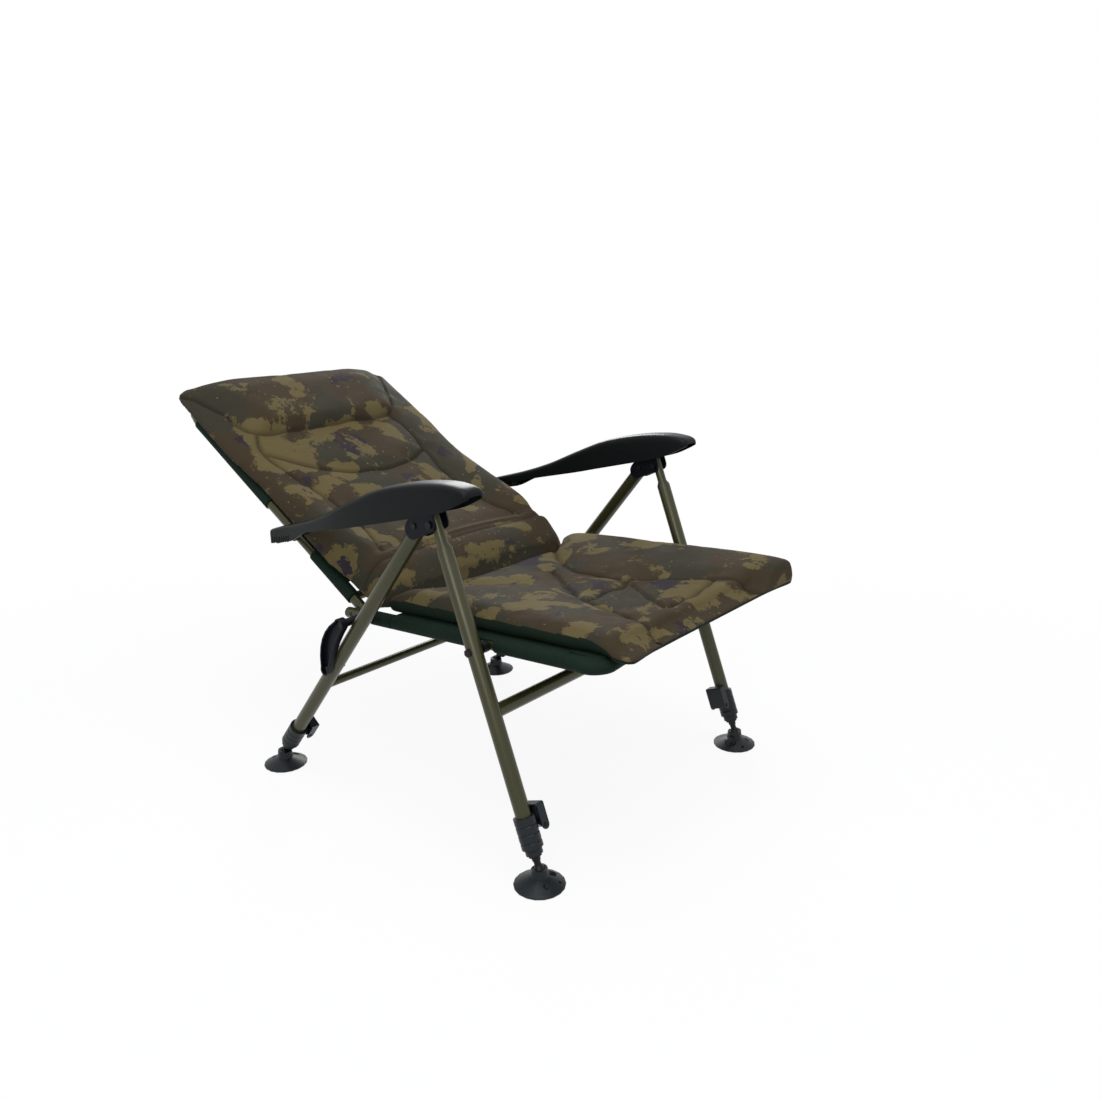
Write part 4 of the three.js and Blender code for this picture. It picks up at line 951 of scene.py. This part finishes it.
def make_armrest(hand, side):
    """A hollow moulding open below, with lugs and rack teeth.

    Outer and inner sections are joined along their edges. The inner roof comes down to them at the rear end.
    """
    share = np.concatenate([[0, 0.002, 0.006, 0.012, 0.02, 0.032, 0.046], np.linspace(0.06, 0.86, 80),
                            np.linspace(0.865, 0.988, 90), [0.991, 0.994, 0.997, 0.999, 1.0]])
    outer = np.stack(arm_section(share, side, 0.0, 0.0), -1)
    inner = np.stack(arm_section(share, side, ARM_WALL, ARM_ROOF), -1)
    closing = ease(share, *ARM_CLOSING_SHARES)[:, None]
    lows = outer[:, [0, -1], 2]
    lowest = lows.min(1, keepdims=True)
    roof = inner[:, :, 2]
    roof = roof + (lowest + LIP_SPARE - roof) * closing * (roof > lowest)
    nearest = np.repeat(lows, [WALL_POINTS + ARC_POINTS, WALL_POINTS], axis=1)
    inner[:, :, 2] = np.where(closing > 0, np.minimum(roof, nearest + LIP_SPARE), roof)
    ring = np.concatenate([outer, inner[:, ::-1]], 1)
    rows, columns = ring.shape[:2]
    points, faces = [ring.reshape(-1, 3)], strip_faces(rows, columns)
    here = np.arange(columns // 2 - 1)
    far = columns - 1 - here
    for row in (0, rows - 1):
        faces += (np.stack([here, here + 1, far - 1, far], -1) + row * columns).tolist()
    low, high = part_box("arm_bracket_" + hand)
    inside, outside = sorted((side * low.x, side * high.x))
    inside, outside = inside - LUG_GAP - ARM_REACH, outside + LUG_GAP - ARM_REACH
    parts = [arm_lug(side * outside, side * (ARM_WIDTH / 2 - ARM_WALL / 2)),
             arm_lug(side * (inside - LUG_THICKNESS), side * inside)]
    parts += [rack_tooth(number, side) for number in range(TOOTH_COUNT)]
    count = rows * columns
    for extra, quads in parts:
        points.append(extra)
        faces += (np.array(quads) + count).tolist()
        count += len(extra)
    points = np.concatenate(points) + np.array([side * ARM_REACH, *ARM_PIVOT])
    made = outward(piece("armrest_skin_" + hand, points, faces, BLACK))
    crease(made, ARM_CREASE)
    return stand_for(made, "armrest_" + hand)


def crease(made, angle):
    """The object's edges that are sharper than the angle, kept sharp in the shading."""
    sheet = bmesh.new()
    sheet.from_mesh(made.data)
    sharpen(sheet, angle)
    sheet.to_mesh(made.data)
    sheet.free()


def swept(name, path, spare, material, hinge, angle, columns=28):
    """A hollow sleeve round a line of (x, distance along a frame), at the height of the frame's tubes.

    Its width grows by the spare amount and its thickness doesn't.
    """
    path = np.array(path)
    ahead = np.gradient(path, axis=0)
    ahead /= np.linalg.norm(ahead, axis=1, keepdims=True)
    angles = np.linspace(0, 2 * np.pi, columns, endpoint=False)
    loops = []
    for size in (SLEEVE_RADIUS, SLEEVE_BORE):
        x = path[:, :1] + ahead[:, 1:] * (size + spare) * np.cos(angles)
        y = path[:, 1:] - ahead[:, :1] * (size + spare) * np.cos(angles)
        z = 0 * x + size * np.sin(angles)
        loops.append(to_world(x, y, z, hinge, angle))
    rows = len(path)
    points = np.concatenate([loop.reshape(-1, 3) for loop in loops])
    faces = strip_faces(rows, columns) + strip_faces(rows, columns, start=rows * columns)
    here = np.arange(columns)
    beside = (here + 1) % columns
    for row in (0, rows - 1):
        a, b = row * columns, (rows + row) * columns
        faces += np.stack([a + here, a + beside, b + beside, b + here], -1).tolist()
    return outward(piece(name, points, faces, material))


def make_front_sleeve():
    """The cloth round the front of the seat's frame, wider in its corners than the bent tube."""
    bend, half, front = POUCH_BEND, SLEEVE_HALF, SLEEVE_FRONT
    turn = np.linspace(0, np.pi / 2, 14)
    corner = np.stack([half - bend + bend * np.cos(turn), front + bend - bend * np.sin(turn)], -1)
    straight = [(half, y) for y in np.linspace(-0.148, front + bend, 6)[:-1]]
    line = np.concatenate([straight, corner, [(x, front) for x in np.linspace(half - bend, 0, 12)[1:]]])
    from_corner = np.hypot(line[:, 0] - half + 0.008, line[:, 1] - front - 0.008)
    spare = POUCH_SPARE * (1 - ease(from_corner, 0.004, 0.034))
    line = np.concatenate([line, (line * [-1, 1])[::-1][1:]])
    spare = np.concatenate([spare, spare[::-1][1:]])[:, None]
    made = swept("front_sleeve", line, spare, GREEN_SEAT, SEAT_PIVOT, SEAT_ANGLE)
    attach(made, "seat")
    return made


# Web behind the front sleeve, in metres from the seat's pivot
WEB_HALF = 0.255
WEB_FRONT = -0.206
WEB_REAR = -0.146
WEB_TOP = 0.0130
WEB_LOW = 0.0096
WEB_ROWS = 5
WEB_COLUMNS = 21


def make_web():
    """The cloth between the sling's front edge and the front sleeve: two flat grids joined at their edge."""
    across, ahead = np.linspace(-WEB_HALF, WEB_HALF, WEB_COLUMNS), np.linspace(WEB_FRONT, WEB_REAR, WEB_ROWS)
    x, y = np.meshgrid(across, ahead)
    x, y = x.ravel(), y.ravel()
    points = np.concatenate([to_world(x, y, height, SEAT_PIVOT, SEAT_ANGLE) for height in (WEB_TOP, WEB_LOW)])
    count = WEB_ROWS * WEB_COLUMNS
    faces = strip_faces(WEB_ROWS, WEB_COLUMNS, False) + strip_faces(WEB_ROWS, WEB_COLUMNS, False, start=count)
    number = np.arange(count).reshape(WEB_ROWS, WEB_COLUMNS)
    around = [*number[0], *number[1:, -1], *number[-1, -2::-1], *number[-2:0:-1, 0]]
    faces += [(a, b, b + count, a + count) for a, b in zip(around, around[1:] + around[:1])]
    made = outward(piece("front_web", points, faces, GREEN_SEAT))
    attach(made, "seat")


# Short sleeves near the hinge: body, half width, ends along the frame, material, hinge and angle
SHORT_SLEEVES = [
    ("seat", 0.261, (0.218, 0.270), GREEN_SEAT, SEAT_PIVOT, SEAT_ANGLE),
    ("back", 0.240, (0.032, 0.078), GREEN_BACK, BACK_HINGE, BACK_ANGLE),
]


def make_side_sleeves():
    """Short cloth sleeves that carry the slings on towards the hinge."""
    for hand, side in SIDES.items():
        for body, half, ends, material, hinge, angle in SHORT_SLEEVES:
            line = [(side * half, y) for y in np.linspace(*ends, 12)]
            made = swept(f"{body}_sleeve_{hand}", line, 0.0, material, hinge, angle)
            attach(made, body)


# Rigid pieces and slings

# Rounding of moulded and steel edges, and the angle over which edges stay sharp, on round pieces and others
EDGE_ROUNDING = 0.0005
SHARP_ROUND = 40.0
SHARP_EDGED = 32.0


def dress():
    """A smooth, finished skin for every rigid node except the armrests."""
    finishes = {"olive_tube": OLIVE, "black_plastic": BLACK, "dark_steel": STEEL}
    for node in frame["nodes"]:
        kind = slot_of_node(node)
        if kind not in finishes or node in ("armrest_left", "armrest_right"):
            continue
        material = finishes[kind]
        if node.startswith(("arm_bracket", "rear_link")):
            material = NAVY
        # Feet, collars and levers take the black moulding made lighter for painted sheen.
        elif kind == "black_plastic" and any(word in node for word in ("foot", "collar", "lever")):
            material = FOOT_SHEEN
        rounding, sharp = (0.0, SHARP_ROUND) if kind == "olive_tube" else (EDGE_ROUNDING, SHARP_EDGED)
        stand_for(smooth_copy(node, material, rounding, sharp), node)


def dress_slings():
    """The slings as smooth copies of their nodes."""
    for node, material in (("seat_sling", GREEN_SEAT), ("back_sling", GREEN_BACK)):
        made = smooth_copy(node, material, 0.0, SHARP_ROUND)
        stand_for(made, node)


# Stage, lamps and camera

# Lamps: name, place, target, size and power
LAMPS = [
    ("top light", (-0.4, -0.6, 2.8), (0, 0, 0.3), 2.4, 42),
    ("front light", (-2.6, -1.6, 1.9), (0, 0, 0.35), 1.6, 26),
    ("far light", (2.3, 1.9, 1.75), (0, 0, 0.45), 1.1, 30),
]
FLOOR_SPAN = 14.0
WHITE = (1, 1, 1, 1)
FLOOR_COLOUR = (0.86, 0.86, 0.86, 1)
ROOM_COLOUR = (0.93, 0.96, 1.0, 1)
ROOM_STRENGTH = 0.55


def make_camera():
    """The camera at its fitted place, turned about Z, then pitched down, then rolled."""
    turn, pitch, roll = (math.radians(angle) for angle in (CAMERA_AZIMUTH, CAMERA_PITCH, CAMERA_ROLL))
    right = Vector((math.cos(turn), math.sin(turn), 0.0))
    ahead = Vector((-math.sin(turn), math.cos(turn), 0.0)) * math.cos(pitch) - Vector((0, 0, math.sin(pitch)))
    up = right.cross(ahead)
    side = right * math.cos(roll) + up * math.sin(roll)
    top = up * math.cos(roll) - right * math.sin(roll)
    lens = bpy.data.cameras.new("camera")
    lens.sensor_width = SENSOR
    lens.lens = FOCAL_PIXELS / FRAME_PIXELS * SENSOR
    camera = bpy.data.objects.new("camera", lens)
    camera.matrix_world = Matrix((
        (side.x, top.x, -ahead.x, EYE.x), (side.y, top.y, -ahead.y, EYE.y),
        (side.z, top.z, -ahead.z, EYE.z), (0, 0, 0, 1)))
    bpy.context.collection.objects.link(camera)
    bpy.context.scene.camera = camera


def lamp(name, place, target, size, power):
    """A round area light that faces its target."""
    light = bpy.data.lights.new(name, "AREA")
    light.shape, light.size, light.energy = "DISK", size, power
    made = bpy.data.objects.new(name, light)
    made.location = place
    made.rotation_euler = (Vector(target) - Vector(place)).to_track_quat("-Z", "Y").to_euler()
    bpy.context.collection.objects.link(made)


def seen_directly(paint):
    """1 for rays from the camera, a mirror or glass."""
    path = paint.tree.nodes.new("ShaderNodeLightPath")
    kinds = "Is Camera Ray", "Is Glossy Ray", "Is Transmission Ray"
    rays = [Value(paint, path.outputs[kind]) for kind in kinds]
    total = rays[0] + rays[1] + rays[2]
    return total.maths("MINIMUM", total, 1.0)


def make_stage():
    """A pale floor that fades to white, a white room, and the lamps."""
    paint = Paint(bpy.data.materials.new("pale floor"))
    lit = paint.node("ShaderNodeBsdfDiffuse", {}, {"Color": FLOOR_COLOUR})
    glow = paint.node("ShaderNodeEmission", {}, {"Color": WHITE, "Strength": 1.0})
    away = paint.node("ShaderNodeVectorMath", {"operation": "LENGTH"}, {0: paint.place()}, LENGTH_VALUE)
    plain = away.step(FLOOR_FADE, FLOOR_FADE / 2) * (1.0 - FLOOR_GLOW) + FLOOR_GLOW
    paint.surface(paint.node("ShaderNodeMixShader", {}, {0: seen_directly(paint) * plain, 1: lit, 2: glow}))
    corners = [(-1, -1, 0), (1, -1, 0), (1, 1, 0), (-1, 1, 0)]
    piece("floor", np.array(corners) * FLOOR_SPAN, [(0, 1, 2, 3)], paint.owner, False)
    world = bpy.data.worlds.new("room")
    bpy.context.scene.world = world
    sky = Paint(world, "ShaderNodeOutputWorld")
    shown = sky.node("ShaderNodeBackground", {}, {"Color": WHITE, "Strength": 1.0})
    lighting = sky.node("ShaderNodeBackground", {}, {"Color": ROOM_COLOUR, "Strength": ROOM_STRENGTH})
    sky.surface(sky.node("ShaderNodeMixShader", {}, {0: seen_directly(sky), 1: lighting, 2: shown}))
    for settings in LAMPS:
        lamp(*settings)


make_camera()
make_stage()
dress()
dress_slings()
make_front_sleeve()
make_web()
make_side_sleeves()
for hand, side in SIDES.items():
    make_armrest(hand, side)
make_seat_pad()
make_back_pad()

bpy.context.scene.view_settings.view_transform = "Standard"
